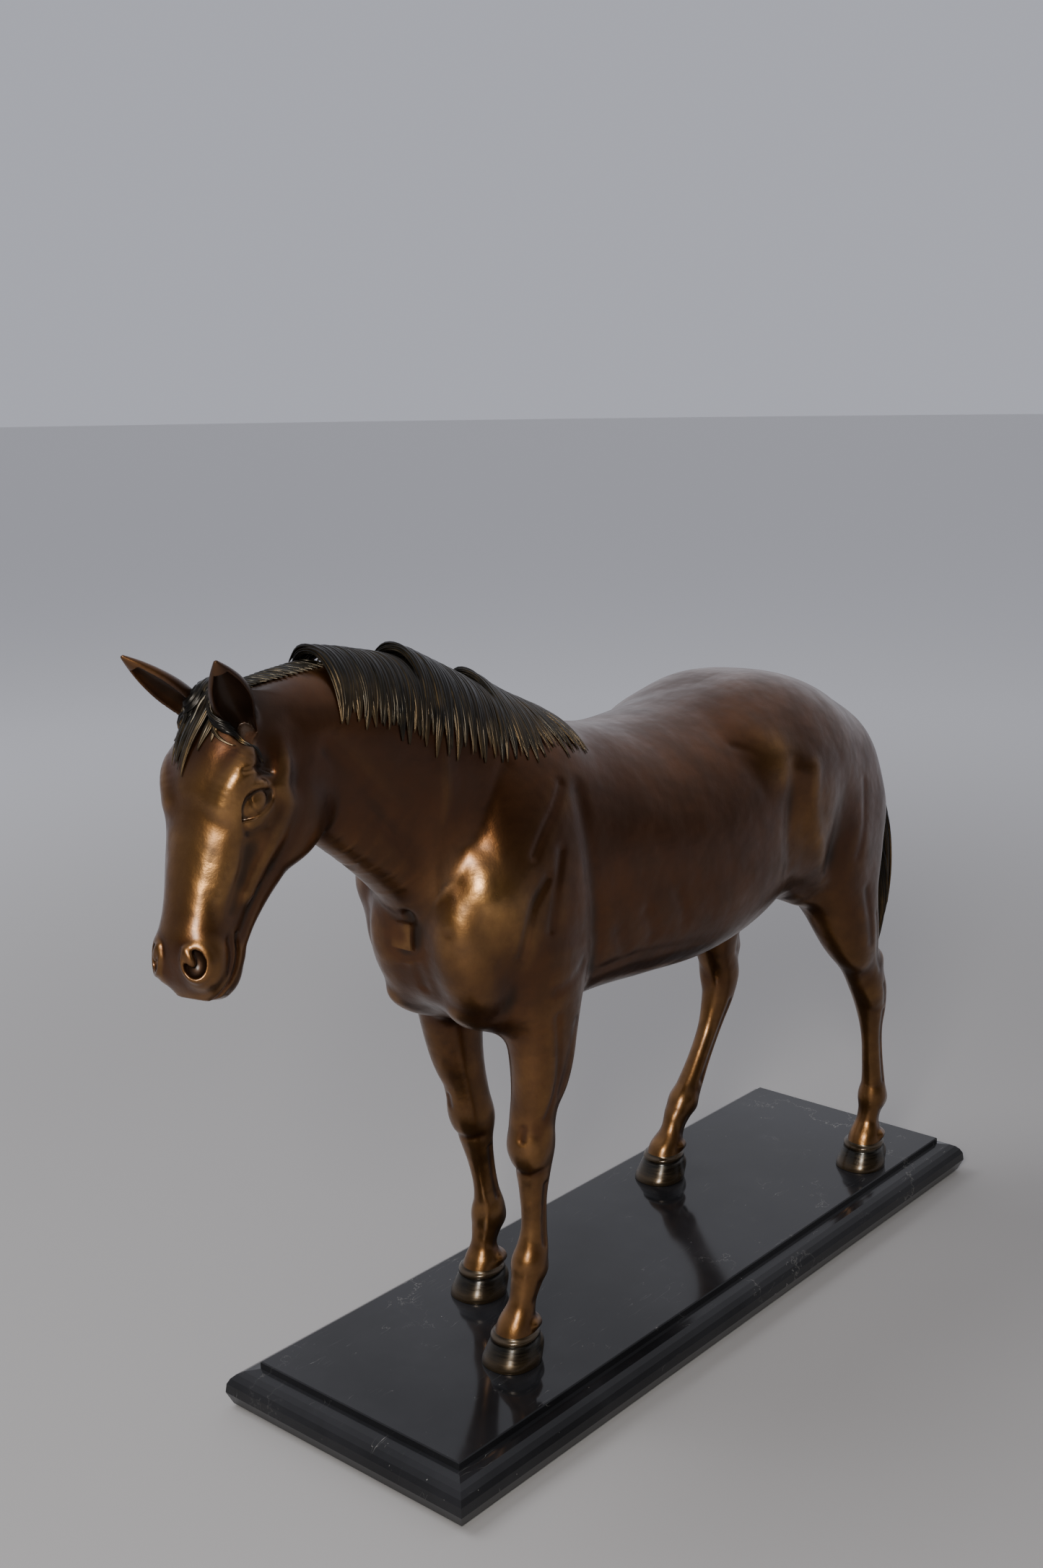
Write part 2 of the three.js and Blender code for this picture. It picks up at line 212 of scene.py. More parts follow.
class Sweep:
    """Oval sections along one axis. A station is: place along the axis, the section's middle sideways
    and upward, its half width, and its half height above and below that middle."""

    def __init__(self, stations, along=(1, 0, 0), side=(0, 1, 0), up=(0, 0, 1), origin=(0, 0, 0), power=2.2):
        rows = np.array(stations, float)
        self.start, self.end = rows[0, 0], rows[-1, 0]
        places = np.linspace(self.start, self.end, 240)
        table = hermite(rows[:, 0], rows[:, 1:], places)
        slopes = np.gradient(table, places, axis=0)
        self.table = np.hstack([table, slopes]).astype(np.float32)
        self.frame = np.array([unit(along), unit(side), unit(up)], np.float32).T
        self.origin = np.array(origin, np.float32)
        self.power = power
        corners = []
        for place, (s, u, half, above, below) in zip(places, table):
            for ds in (-half, half):
                for du in (above, -below):
                    corners.append(self.origin + self.frame @ np.array([place, s + ds, u + du]))
        self.low, self.high = np.min(corners, axis=0), np.max(corners, axis=0)

    def __call__(self, p):
        t, s, u = ((p - self.origin) @ self.frame).T
        x = (np.clip(t, self.start, self.end) - self.start) / (self.end - self.start) * (len(self.table) - 1)
        i = np.minimum(x.astype(np.int32), len(self.table) - 2)
        f = (x - i)[:, None].astype(np.float32)
        row = self.table[i] * (1 - f) + self.table[i + 1] * f
        ds, du = s - row[:, 0], u - row[:, 1]
        above = du > 0
        half, tall = row[:, 2], np.where(above, row[:, 3], row[:, 4])
        tall_slope = np.where(above, row[:, 8], row[:, 9])
        n = self.power
        a, b = np.abs(ds) / half + 1e-4, np.abs(du) / tall + 1e-4
        q = (a**n + b**n) ** (1 / n)
        ga = (a / q) ** (n - 1) / half
        gb = (b / q) ** (n - 1) / tall
        gt = ga * (np.sign(ds) * row[:, 5] + a * row[:, 7])
        gt = gt + gb * (np.sign(du) * row[:, 6] + b * tall_slope)
        d = (q - 1) / np.sqrt(ga * ga + gb * gb + gt * gt)
        over = np.maximum(t - self.end, self.start - t)
        return np.where(over > 0, np.hypot(np.maximum(d, 0), over), d).astype(np.float32)


class Egg:
    """Ellipsoid: radii along its length, across it, and outward."""

    def __init__(self, centre, radii, along=(0, 0, 1), out=(0, 1, 0)):
        e1 = unit(along)
        e3 = unit(np.asarray(out, np.float32) - np.dot(out, e1) * e1)
        self.frame = np.array([e1, np.cross(e3, e1), e3], np.float32).T
        self.centre = np.array(centre, np.float32)
        self.radii = np.array(radii, np.float32)
        span = np.sqrt(((self.frame * self.radii) ** 2).sum(1))
        self.low, self.high = self.centre - span, self.centre + span

    def __call__(self, p):
        r = ((p - self.centre) @ self.frame) / self.radii
        q = np.sqrt((r * r).sum(1)) + 1e-5
        g = np.sqrt(((r / self.radii) ** 2).sum(1)) + 1e-6
        return q * (q - 1) / g


def nearest(p, path, radii=None):
    """Distance from points to a path, less its radius there."""
    best = np.full(len(p), FAR, np.float32)
    for i in range(len(path) - 1):
        a, b = path[i], path[i + 1]
        ba = b - a
        h = np.clip(((p - a) @ ba) / (ba @ ba), 0, 1)
        d = np.linalg.norm(p - a - h[:, None] * ba, axis=1)
        if radii is not None:
            d = d - (radii[i] + (radii[i + 1] - radii[i]) * h)
        best = np.minimum(best, d)
    return best


class Cord:
    """Round cord through points, each with its own radius."""

    def __init__(self, points, radii):
        path = smooth_path(np.column_stack([np.asarray(points, float), radii]), 3)
        self.path, self.radii = path[:, :3], path[:, 3]
        self.low = (self.path - self.radii[:, None]).min(0)
        self.high = (self.path + self.radii[:, None]).max(0)

    def __call__(self, p):
        return nearest(p, self.path, self.radii)


class Crease:
    """A groove cut along a path, or a ridge raised if depth is negative. A side crease runs through
    sideways, so it cuts the skin wherever that lies."""

    def __init__(self, points, depth, width, side=None):
        self.keep = [axis for axis in range(3) if axis != side]
        self.path = smooth_path(points, 3)[:, self.keep]
        self.depth, self.width = depth, width
        reach = 2.6 * width
        self.low, self.high = np.full(3, -FAR), np.full(3, FAR)
        self.low[self.keep] = self.path.min(0) - reach
        self.high[self.keep] = self.path.max(0) + reach

    def __call__(self, p):
        d = nearest(p[:, self.keep], self.path)
        return self.depth * np.exp(-((d / self.width) ** 2))


def near(p, form, margin):
    low, high = p.min(0), p.max(0)
    if np.any(low > form.high + margin) or np.any(high < form.low - margin):
        return None
    inside = np.all((p > form.low - margin) & (p < form.high + margin), axis=1)
    return inside if inside.any() else None


def add(field, p, form, soften, margin):
    where = near(p, form, 1.7 * soften + margin)
    if where is not None:
        field[where] = smooth_min(field[where], form(p[where]), soften)


def cut(field, p, form, soften, margin):
    where = near(p, form, soften + margin)
    if where is not None:
        field[where] = -smooth_min(-field[where], form(p[where]), soften)


def carve(field, p, crease):
    where = near(p, crease, 0)
    if where is not None:
        field[where] += crease(p[where])


# ---------------------------------------------------------------- the horse's trunk and neck

TRUNK = Sweep([
    # along, middle y, middle z, half width, up, down
    (-205, 0, 280, 18, 22, 18), (-198, 0, 280, 34, 38, 34), (-183, 0, 280, 47, 58, 50),
    (-158, 0, 282, 53, 79, 66), (-125, 0, 284, 55, 90, 71), (-85, 0, 282, 60, 89, 67),
    (-40, 0, 278, 66, 87, 65), (5, 0, 277, 70, 89.5, 66), (50, 0, 284, 69, 89, 68),
    (90, 0, 295, 66, 82, 66), (130, 0, 303, 62, 69, 61), (163, 0, 302, 56, 57, 56),
    (190, 0, 297, 45, 41, 44), (207, 0, 293, 30, 23, 24),
    (213, 0, 292, 16, 11, 11), (216, 0, 291.5, 6, 4, 4),
], power=2.25)

NECK_ALONG = (-0.93, 0, 0.367)
NECK_UP = (0.367, 0, 0.93)
NECK = Sweep([
    # along from the withers end, middle y, middle up, half width, up, down
    (0, 0, 0, 44, 50, 50), (38, 0, 2.2, 44, 59, 59), (77, 0, 7.0, 39, 55, 55),
    (114, 0, 15.4, 33.5, 48, 48), (152, 0, 18.0, 28.5, 42, 42), (184, 0, 13.6, 25, 38, 38),
    (223, -1, 2.7, 20.5, 31, 31), (240, -1, -2, 17, 26, 27),
], along=NECK_ALONG, up=NECK_UP, origin=(-95, 0, 310), power=2.15)

# Muscles of the left side, mirrored on the right: form, softness of its join.
MUSCLES = [
    # shoulder blade, point of the shoulder, upper arm and the long head behind it
    (Egg((-150, -28, 326), (54, 30, 21.5), along=(-64, -16, -76), out=(-0.2, -1, 0.1)), 17),
    (Egg((-181, -36, 303), (19, 14, 13), along=(-0.35, -0.35, -0.9), out=(-0.7, -0.7, 0)), 9),
    (Egg((-173, -41, 283), (27, 14, 12), along=(0.25, -0.05, -1), out=(-0.4, -1, 0)), 9),
    (Egg((-140, -37, 288), (48, 27, 20), along=(-36, -10, -72), out=(0, -1, 0)), 12),
    (Egg((-148, -40, 255), (27, 17, 15), along=(0.0, 0, -1), out=(0, -1, 0)), 9),
    # under the breast
    (Egg((-160, -20, 232), (34, 15, 15), along=(1, 0.1, -0.2), out=(0, -1, -0.2)), 9),
    # the windpipe along the underside of the neck
    (Cord([(-284, 0, 366), (-252, 0, 347), (-224, 0, 330), (-200, 0, 312)], [12, 15, 19, 22]), 14),
    # hip, croup and thigh
    (Egg((50, -49, 335), (22, 11, 10.5), along=(0.75, -0.55, -0.6), out=(0, -1, 0.3)), 18),
    (Egg((94, -32, 326), (66, 42, 34), along=(1, -0.1, -0.2), out=(0, -1, 0.2)), 20),
    (Egg((92, -43, 292), (54, 25, 26), along=(0.22, 0.05, -1), out=(0, -1, 0)), 16),
    (Egg((140, -38, 282), (64, 33, 30), along=(0.05, -0.15, -1), out=(0, -1, 0)), 10),
    (Egg((176, -27, 282), (52, 23, 25), along=(-0.2, -0.2, -1), out=(0.6, -1, 0)), 14),
    (Egg((168, -26, 299), (40, 29, 29), along=(0.1, 0.1, -1), out=(0.65, -0.76, 0)), 20),
    (Egg((112, -40, 249), (24, 18, 14), along=(0.35, -0.1, -1), out=(0, -1, 0)), 14),
]

# The two lobes of the breast, on either side of a groove a little left of the middle.
BREAST_MIDDLE = -7.0
BREAST = [
    (Egg((-183, BREAST_MIDDLE + side * 20, 270), (39, 21, 24), (0.22, 0, -1), (-1, 0.3 * side, 0)), 5)
    for side in (-1, 1)
]
BREAST_CREASE = Crease([(-206, -5, 300), (-209, -7, 284), (-209, -8, 264), (-200, -7, 248)], 1.8, 3.4)

SHEATH = Egg((52, 0, 216), (26, 9, 8), along=(1, 0, 0.3), out=(0, 0, 1))

# Creases and ridges of the left side, mirrored on the right: points, depth, width.
SIDE = 1
CREASES = [
    Crease(
        [(-276, -23, 388), (-263, -22, 376), (-249, -20, 363), (-234, -17, 347), (-218, -15, 330)], 1.2, 6,
    ),
    Crease([(-203, -31, 283), (-196, -33, 264), (-184, -30, 246), (-168, -27, 228)], 1.3, 3.6),
    Crease([(-166, 0, 364), (-174, 0, 354), (-182, 0, 339), (-188, 0, 327)], 0.7, 5, SIDE),
    Crease([(-134, 0, 350), (-144, 0, 339), (-153, 0, 331), (-163, 0, 319)], 1.0, 3, SIDE),
    Crease([(-156, 0, 306), (-167, 0, 294), (-172, 0, 281), (-174, 0, 267)], 1.2, 3.0, SIDE),
    Crease([(-144, 0, 318), (-151, 0, 299), (-156, 0, 279)], 0.9, 3.2, SIDE),
    Crease(
        [(-121, 0, 344), (-121, 0, 320), (-119, 0, 292), (-114, 0, 266), (-112, 0, 246)], 1.5, 6.5, SIDE,
    ),
    Crease([(-150, 0, 243), (-138, 0, 246), (-126, 0, 252)], 0.8, 4, SIDE),
    Crease([(60, 0, 330), (59, 0, 315), (57, 0, 300), (56, 0, 285), (60, 0, 268)], 1.7, 7, SIDE),
    Crease([(79, 0, 326), (77, 0, 308), (80, 0, 290), (96, 0, 266), (112, 0, 246)], -1.6, 7, SIDE),
    Crease([(150, 0, 304), (148, 0, 290), (144, 0, 274), (138, 0, 258)], 0.6, 3.4, SIDE),
    Crease([(70, 0, 251), (88, 0, 246), (112, 0, 234)], 0.6, 4, SIDE),
    Crease([(20, -50, 346), (34, -55, 339), (44, -58, 333)], 0.5, 3),
    Crease([(-106, -47, 241), (-74, -51, 244), (-20, -54, 242), (16, -53, 243)], 0.8, 4.2),
    Crease([(-96, 0, 262), (-88, 0, 250)], 0.9, 5, SIDE),
    Crease([(-76, 0, 270), (-68, 0, 255)], 0.9, 5, SIDE),
    Crease([(-52, 0, 275), (-44, 0, 259)], 0.8, 5, SIDE),
]

# ---------------------------------------------------------------- legs

# Each leg from body to coronet: x, y, z, half width, half depth.
LEG_STATIONS = {
    "fore_left": [
        (-140, -33, 262, 21, 28), (-140, -35, 232, 21, 26), (-139, -35, 205, 16, 19),
        (-141, -34, 180, 13, 14.5), (-144, -33, 160, 12, 13), (-145, -33, 148, 12.5, 13.5),
        (-143.5, -33, 134, 9.5, 10), (-143.5, -33, 118, 7, 8), (-143.5, -33, 98, 6.5, 8),
        (-146.5, -33, 82, 8.8, 10), (-149, -33, 72, 8.5, 9.5), (-154.5, -33, 58, 7.5, 7.5),
        (-158, -32, 48, 10, 10.5), (-159, -32, 42, 11, 12),
    ],
    "fore_right": [
        (-138, 32, 262, 21, 28), (-137, 34, 232, 20, 25), (-134, 34, 205, 16, 18),
        (-130, 33, 180, 13, 14), (-124, 33, 156, 12, 12.5), (-120, 33, 140, 12.5, 13),
        (-117, 33, 124, 9.5, 9.5), (-113, 33, 108, 7, 8), (-109, 33, 90, 6.5, 8),
        (-107, 33, 76, 8.8, 10), (-109, 33, 66, 8.5, 9), (-112, 33, 56, 7.5, 7.5),
        (-113, 33, 48, 10, 10.5), (-114, 33, 42, 11, 12),
    ],
    "hind_left": [
        (140, -22, 334, 12, 20), (154, -29, 312, 22, 34), (163, -34, 288, 28, 42),
        (157, -39, 256, 28, 42), (155, -43, 232, 25, 35), (155, -48, 211, 20, 27),
        (159, -52, 191, 15, 19), (172, -55, 171, 11.5, 14.5), (181, -55, 156, 11, 14),
        (186, -55, 140, 9.5, 11), (188, -55, 125, 7, 8.5), (191, -55, 100, 6.5, 8),
        (193, -55, 82, 7.5, 9), (193, -55, 72, 8.5, 10),
        (189, -54, 57, 7.5, 7.5), (186, -54, 48, 10, 10.5), (185, -54, 42, 11, 12),
    ],
    "hind_right": [
        (132, 22, 334, 12, 20), (143, 29, 312, 22, 34), (149, 34, 288, 27, 42),
        (148, 38, 255, 27, 46), (146, 40, 230, 25, 40), (143, 41, 208, 21, 32),
        (140, 41, 188, 16, 21), (143, 41, 168, 12.5, 15.5), (147, 41, 152, 11.5, 14),
        (144, 41, 138, 10, 12),
        (135, 41, 119, 7.5, 8.5), (122, 41, 99, 7, 8), (109, 41, 81, 8, 9.5), (101, 41, 70, 9, 10),
        (91, 41, 57, 7.5, 7.5), (85, 42, 48, 10, 10.5), (83, 42, 42, 11, 12),
    ],
}


def leg_sweep(stations):
    rows = np.array(stations[::-1], float)
    lean = np.gradient(rows[:, 0], rows[:, 2])
    depth = rows[:, 4] * np.sqrt(1 + lean**2)
    return Sweep(
        np.column_stack([rows[:, 2], rows[:, 1], rows[:, 0], rows[:, 3], depth, depth]),
        along=(0, 0, 1), side=(0, 1, 0), up=(1, 0, 0), power=2.15,
    )


def leg_point(stations, z):
    """Middle of the leg at a height, with its half width and half depth."""
    rows = np.array(stations[::-1], float)
    return hermite(rows[:, 2], rows[:, [0, 1, 3, 4]], np.array([float(z)]))[0]


# Heights of each leg's knee or hock and of its fetlock.
LEG_JOINTS = {
    "fore_left": (148, 77), "fore_right": (142, 72), "hind_left": (160, 72), "hind_right": (158, 72),
}


def leg_forms(name):
    """Muscles, bones and tendons of one leg: added forms with their softness, and creases."""
    stations = LEG_STATIONS[name]
    forms, creases = [], []
    outward = -1 if name.endswith("left") else 1

    def at(z, across=0.0, back=0.0):
        x, y, half, deep = leg_point(stations, z)
        return np.array([x + back * deep, y + outward * across * half, z])

    fore = name.startswith("fore")
    joint, ankle = LEG_JOINTS[name]
    if fore:
        forms += [
            (Egg(at(206, 0.25, -0.35), (40, 11, 10), at(180) - at(232), (-0.6, outward, 0)), 6),
            (Egg(at(208, 0.2, 0.4), (36, 10, 11), at(180) - at(232), (0.5, outward, 0)), 6),
            (Egg(at(joint, 0.1, -0.28), (14, 9.5, 8.5), at(joint - 9) - at(joint + 9), (-1, 0, 0)), 4),
            (Egg(at(joint + 3, 0.1, 0.62), (9, 5, 6), along=(0, 0, 1), out=(1, 0, 0)), 4),
            (Egg(at(joint + 9, 0.55, 0.0), (7, 5, 5), along=(0, 0, 1), out=(0, outward, 0)), 4),
        ]
        creases += [
            Crease(
                [at(228, 0.95, -0.3), at(206, 1.0, -0.2), at(185, 1.0, -0.1), at(168, 0.9, -0.25)], 0.9, 2.4,
            ),
            Crease([at(220, 0.9, 0.45), at(200, 1.0, 0.4), at(180, 1.0, 0.35)], 0.7, 3.4),
            Crease([at(joint + 14, 0.3, -1), at(joint + 8, 0.3, -1)], 1.2, 2.2),
            Crease([at(joint - 12, 0.9, -0.5), at(joint - 13, 0, -1), at(joint - 12, -0.9, -0.5)], 0.7, 3),
        ]
    else:
        point = at(joint + 9, 0.0, 0.95)      # of the hock
        forms += [
            (Egg(at(210, 0.35, -0.25), (32, 13, 10), along=at(180) - at(225), out=(-0.5, outward, 0)), 11),
            (Egg(at(212, 0.3, 0.4), (28, 11, 9), along=at(180) - at(225), out=(0.5, outward, 0)), 12),
            (Egg(point, (13, 6, 6.5), at(joint - 14, 0, 0.8) - at(joint + 12, 0, 0.9), (1, 0, 0)), 4),
            (Cord(
                [at(222, 0, 0.78), at(200, 0, 0.86), at(183, 0, 0.95), point + (0, 0, 6)], [6, 4.6, 4.2, 5],
            ), 8),
            (Egg(at(joint - 4, 0.5, -0.3), (14, 8, 6), at(joint - 12) - at(joint + 10), (0, outward, 0)), 4),
        ]
        creases += [
            *[Crease([
                at(212, side * 0.9, 0.42), at(196, side * 0.9, 0.5),
                at(182, side * 0.85, 0.55), at(172, side * 0.8, 0.5),
            ], 1.1, 3.6) for side in (1, -1)],
            Crease([at(232, 1.0, -0.1), at(214, 1.0, 0.0), at(196, 1.0, 0.0)], 0.9, 4),
            Crease([at(joint - 2, 1.0, 0.25), at(joint - 14, 1.0, 0.3)], 1.0, 2.4),
        ]
    for side in (1, -1):
        cannon = [at(joint - 22, side, 0.15), at(joint - 38, side, 0.2), at(ankle + 14, side, 0.2)]
        creases.append(Crease(cannon, 1.3, 2.0))
        creases.append(Crease([at(ankle - 8, side, 0.2), at(ankle - 17, side, 0.3)], 0.7, 2.4))
    forms += [
        (Egg(at(ankle + 2, 0.0, -0.15), (9, 8.6, 8.6), along=(0, 0, 1), out=(1, 0, 0)), 4),
        (Egg(at(ankle - 2, 0.0, 0.62), (7, 6.8, 6), along=(0.2, 0, 1), out=(1, 0, 0)), 3.5),
        (Egg(at(ankle - 9, 0.0, 0.95), (5.5, 3.4, 3.4), along=(0.5, 0, -1), out=(1, 0, 0)), 3),
        (Cord(
            [at(47, 0.95, 0.35), at(46, 0.6, 0.9), at(46, -0.6, 0.9), at(47, -0.95, 0.35)],
            [2.6, 3.4, 3.4, 2.6],
        ), 3),
    ]
    return forms, creases


LEGS = {}
for leg_name, leg_rows in LEG_STATIONS.items():
    LEGS[leg_name] = (leg_sweep(leg_rows), *leg_forms(leg_name))

# ---------------------------------------------------------------- head

# The head's own frame: s runs from the poll to the muzzle, l to the horse's left, h out of its face.
POLL = np.array([-326, -1, 424.5], np.float32)
HEAD_TURN, HEAD_DROP, HEAD_TILT, HEAD_LEAN = (math.radians(a) for a in (8, 68, 1, 2.4))


def head_frame():
    level = np.array([-math.cos(HEAD_TURN), -math.sin(HEAD_TURN), 0])
    along = level * math.cos(HEAD_DROP) - np.array([0, 0, math.sin(HEAD_DROP)])
    left = np.array([math.sin(HEAD_TURN), -math.cos(HEAD_TURN), 0])
    left = left * math.cos(HEAD_TILT) + np.cross(along, left) * math.sin(HEAD_TILT)
    out = np.cross(along, left)
    along, left = (
        along * math.cos(HEAD_LEAN) + left * math.sin(HEAD_LEAN),
        left * math.cos(HEAD_LEAN) - along * math.sin(HEAD_LEAN),
    )
    return np.array([along, left, out], np.float32).T


HEAD = head_frame()


def in_world(s, l, h):
    return POLL + HEAD @ np.array([s, l, h], np.float32)


# Sections of the head: s, middle l, middle h, half width, out, in.
SKULL = Sweep([
    (-2, 0, -22, 13, 14, 20), (8, 0, -22, 18, 19, 22), (22, 0, -22, 21.5, 23, 22),
    (36, 0, -21, 23.5, 23, 22), (47, 0, -20, 22.5, 21.5, 22), (58, 0, -20.5, 22.8, 19, 20),
    (72, 0, -21, 20.2, 18.5, 18), (88, 0, -21, 17.8, 17, 16), (103, 0, -20.5, 16.2, 15.5, 14.5),
    (116, 0, -21.5, 16.8, 16, 15.5), (127, 0, -23.5, 16.2, 14, 14.5), (134, 0, -25.5, 13, 10.5, 11),
    (139, 0, -27, 8, 6, 6.5),
], power=2.35)
JAW = Sweep([
    (14, 0, -46, 12, 14, 22), (28, 0, -50, 17, 20, 30), (45, 0, -52, 19.5, 22, 30),
    (60, 0, -49, 19.5, 22, 26), (76, 0, -43, 17, 18, 22), (92, 0, -38, 14.5, 14, 18),
    (108, 0, -35.5, 14, 12, 13), (120, 0, -35, 14.5, 12, 12), (129, 0, -34.5, 12.5, 10, 9.5),
    (135, 0, -33.5, 8, 6, 6),
], power=2.2)

# Forms of the head's left side, mirrored on the right, with their softness, and its creases.
HEAD_FORMS = [
    (SKULL, 3), (JAW, 7),
    (Egg((41, 14, -50), (31, 29, 13), along=(1, 0, 0.12), out=(0, 1, 0)), 7),
    (Egg((48, 10.5, -20), (21, 16, 15), along=(1, 0, 0), out=(0, 1, 0)), 5),
    (Cord([(30, 20.5, -11), (36, 20.8, -8.5), (43, 18.8, -6.8), (52, 15.8, -7.2)], [3.4, 4.2, 4.2, 3]), 9),
    (Cord([(38, 22.5, -31), (28, 21.5, -31), (18, 19, -28)], [4, 4, 3]), 7),
    (Cord([(46, 21.5, -36), (58, 21.2, -35), (73, 18.6, -33), (88, 15.6, -31)], [3.4, 3.2, 2.4, 1.4]), 10),
    (Cord([(58, 15.2, -12), (70, 15, -14), (80, 14.4, -15), (92, 12.6, -15)], [3, 3.2, 3.4, 2]), 5),
    (Egg((122, 11, -17), (11, 8.5, 6.5), along=(1, 0, -0.15), out=(0, 1, 0.55)), 5),
    (Egg((127, 0, -39), (11, 11.5, 8), along=(1, 0, 0.15), out=(0, 0, -1)), 4),
    (Egg((14, 13, -38), (22, 22, 8), along=(1, 0.1, -0.9), out=(0, 1, 0)), 7),
]
HEAD_CREASES = [
    Crease([(29, 0, -15), (32, 0, -19)], 1.6, 5.5, 1),
    Crease([(64, 0, -20), (74, 0, -23), (86, 0, -24), (98, 0, -23)], 0.9, 4.4, 1),
    Crease([(57, 0, -13), (60, 0, -14.5), (63, 0, -18)], 0.9, 1.8, 1),
    Crease([(86, 0, -38), (100, 0, -36), (110, 0, -33)], 0.9, 3.6, 1),
    Crease([(108, 0, -31), (116, 0, -33), (125, 0, -33), (133, 0, -31), (141, 0, -31)], 1.5, 1.4, 1),
    Crease([(113, 0, -45), (119, 0, -47)], 1.0, 3, 1),
    Crease([(20, 0, -74), (14, 0, -58), (10, 0, -44), (6, 0, -34)], 1.3, 4.5, 1),
    Crease([(111, 0, -25), (116, 0, -28), (124, 0, -29)], 0.9, 2.6, 1),
    Crease([(37, 0, -6), (34, 0, -13), (34, 0, -24)], 0.8, 1.3, 1),
    Crease([(58, 0, -27), (63, 0, -20)], 0.35, 1.8, 1),
]

# The eye: the opening between the lids, drawn from the side, and the lids' rims on the eyeball.
EYE = Egg((48.2, 13.2, -20), (13.2, 10.6, 12.2), along=(0.826, 0, 0.564), out=(0, 1, 0))
LID_BALL = np.array([47, 12.6, -20.2])
LID_RADIUS = 12.4
LEAST_RISE = 9.0         # keeps the square root real past the ball's edge
IRIS_MIDDLE, IRIS_RADIUS = (47.5, -19.5), 5.0
UPPER_LID = [(58.5, -13.4), (53, -10.2), (46.5, -10.0), (42.2, -13.4), (40.4, -18.5), (40.4, -24)]
LOWER_LID = [(40.4, -24), (45, -27), (50.4, -25.4), (54.6, -20.8), (57, -16.4), (58.5, -13.4)]


def on_lid(s, h, lift=0.0):
    """Point on the ball that the lids lie on."""
    ds, dh = s - LID_BALL[0], h - LID_BALL[2]
    rise = max((LID_RADIUS + lift) ** 2 - ds * ds - dh * dh, LEAST_RISE)
    return (s, LID_BALL[1] + math.sqrt(rise), h)


LIDS = [
    (Cord([on_lid(*p, 0.9) for p in UPPER_LID], [1.2, 2.2, 2.8, 2.8, 2.4, 1.6]), 1.3),
    (Cord([on_lid(*p, 0.2) for p in LOWER_LID], [1.4, 1.9, 2.0, 1.8, 1.4, 1.0]), 1.4),
]
OPENING = smooth_path([(s, 0, h) for s, h in UPPER_LID + LOWER_LID[1:]], 3)[:, [0, 2]]
IRIS = Crease([
    on_lid(IRIS_MIDDLE[0] + IRIS_RADIUS * math.cos(a), IRIS_MIDDLE[1] + IRIS_RADIUS * math.sin(a))
    for a in np.linspace(0, 2 * math.pi, 13)
], 0.35, 0.7, 1)

NOSTRIL = (123.5, 11.6, -10.8)
NOSTRIL_LONG, NOSTRIL_OUT = (1, 0.1, -0.25), (0.25, 0.66, 0.72)


def ring(centre, long, out, long_radius, cross_radius, lift):
    """Points of an oval around a centre, the last one on the first."""
    e1, e3 = unit(long), unit(out)
    e3 = unit(e3 - (e3 @ e1) * e1)
    e2 = np.cross(e3, e1)
    angles = np.linspace(0, 2 * math.pi, 13)
    return [
        np.array(centre) + long_radius * math.cos(a) * e1 + cross_radius * math.sin(a) * e2 + lift * e3
        for a in angles
    ]


NOSTRIL_RIM_RADII = [0.7, 0.8, 1.0, 1.2, 1.3, 1.2, 1.0, 0.9, 0.7, 0.6, 0.5, 0.6, 0.7]
NOSTRIL_RIM = (Cord(ring(NOSTRIL, NOSTRIL_LONG, NOSTRIL_OUT, 7.6, 6.0, -0.3), NOSTRIL_RIM_RADII), 2.8)
NOSTRIL_HOLE = Egg(NOSTRIL, (6.4, 4.9, 3.4), along=NOSTRIL_LONG, out=NOSTRIL_OUT)
NOSTRIL_FOLD = (Egg((121.2, 9.2, -8.4), (5.0, 2.3, 2.4), along=(1, 0.5, -0.5), out=(0, 0.6, 0.8)), 1.6)


def polygon_side(points, outline):
    """Signed distance from points to a closed outline, negative inside it."""
    d = nearest(points, outline)
    inside = np.zeros(len(points), bool)
    for a, b in zip(outline[:-1], outline[1:]):
        spans = (a[1] > points[:, 1]) != (b[1] > points[:, 1])
        rise = b[1] - a[1] if b[1] != a[1] else 1e-9
        crossing = a[0] + (points[:, 1] - a[1]) * (b[0] - a[0]) / rise
        inside ^= spans & (points[:, 0] < crossing)
    return np.where(inside, -d, d)


# Outline of an ear from root to tip: share of its length, of its half width and of its half depth.
EAR_SHAPE = [
    (-0.12, 0.62, 0.95), (0.1, 0.84, 1.0), (0.35, 1.0, 0.92),
    (0.6, 0.86, 0.7), (0.82, 0.5, 0.45), (1.0, 0.1, 0.14),
]


class Ear:
    """A leaf-shaped cup from the skull to its tip, open towards one side."""

    def __init__(self, root, tip, opening, half_width, half_depth):
        root, tip = np.array(root, float), np.array(tip, float)
        length = np.linalg.norm(tip - root)
        along = (tip - root) / length
        out = unit(np.array(opening) - np.dot(opening, along) * along)
        side = np.cross(along, out)
        outer, inner = [], []
        for t, wide, deep in EAR_SHAPE:
            bend = 2.2 * (t - 0.4) ** 2
            w, d = wide * half_width, deep * half_depth
            outer.append((t * length, 0, bend, w, d, d))
            if t < 0.95:
                inner.append((t * length, 0, bend + 0.75 * d + 1.1, max(w - 1.5, 0.6), 1.1 * d, 1.45 * d))
        self.outer = Sweep(outer, along=along, side=side, up=out, origin=root, power=2.0)
        self.inner = Sweep(inner, along=along, side=side, up=out, origin=root, power=2.0)


EARS = [
    Ear((-320, -14.5, 409), (-341, -24, 439.5), (-0.62, -0.72, 0.1), 9.6, 6.6),
    Ear((-322, 13.5, 410), (-357, 20, 440), (-0.75, -0.25, -0.5), 9.0, 6.2),
]


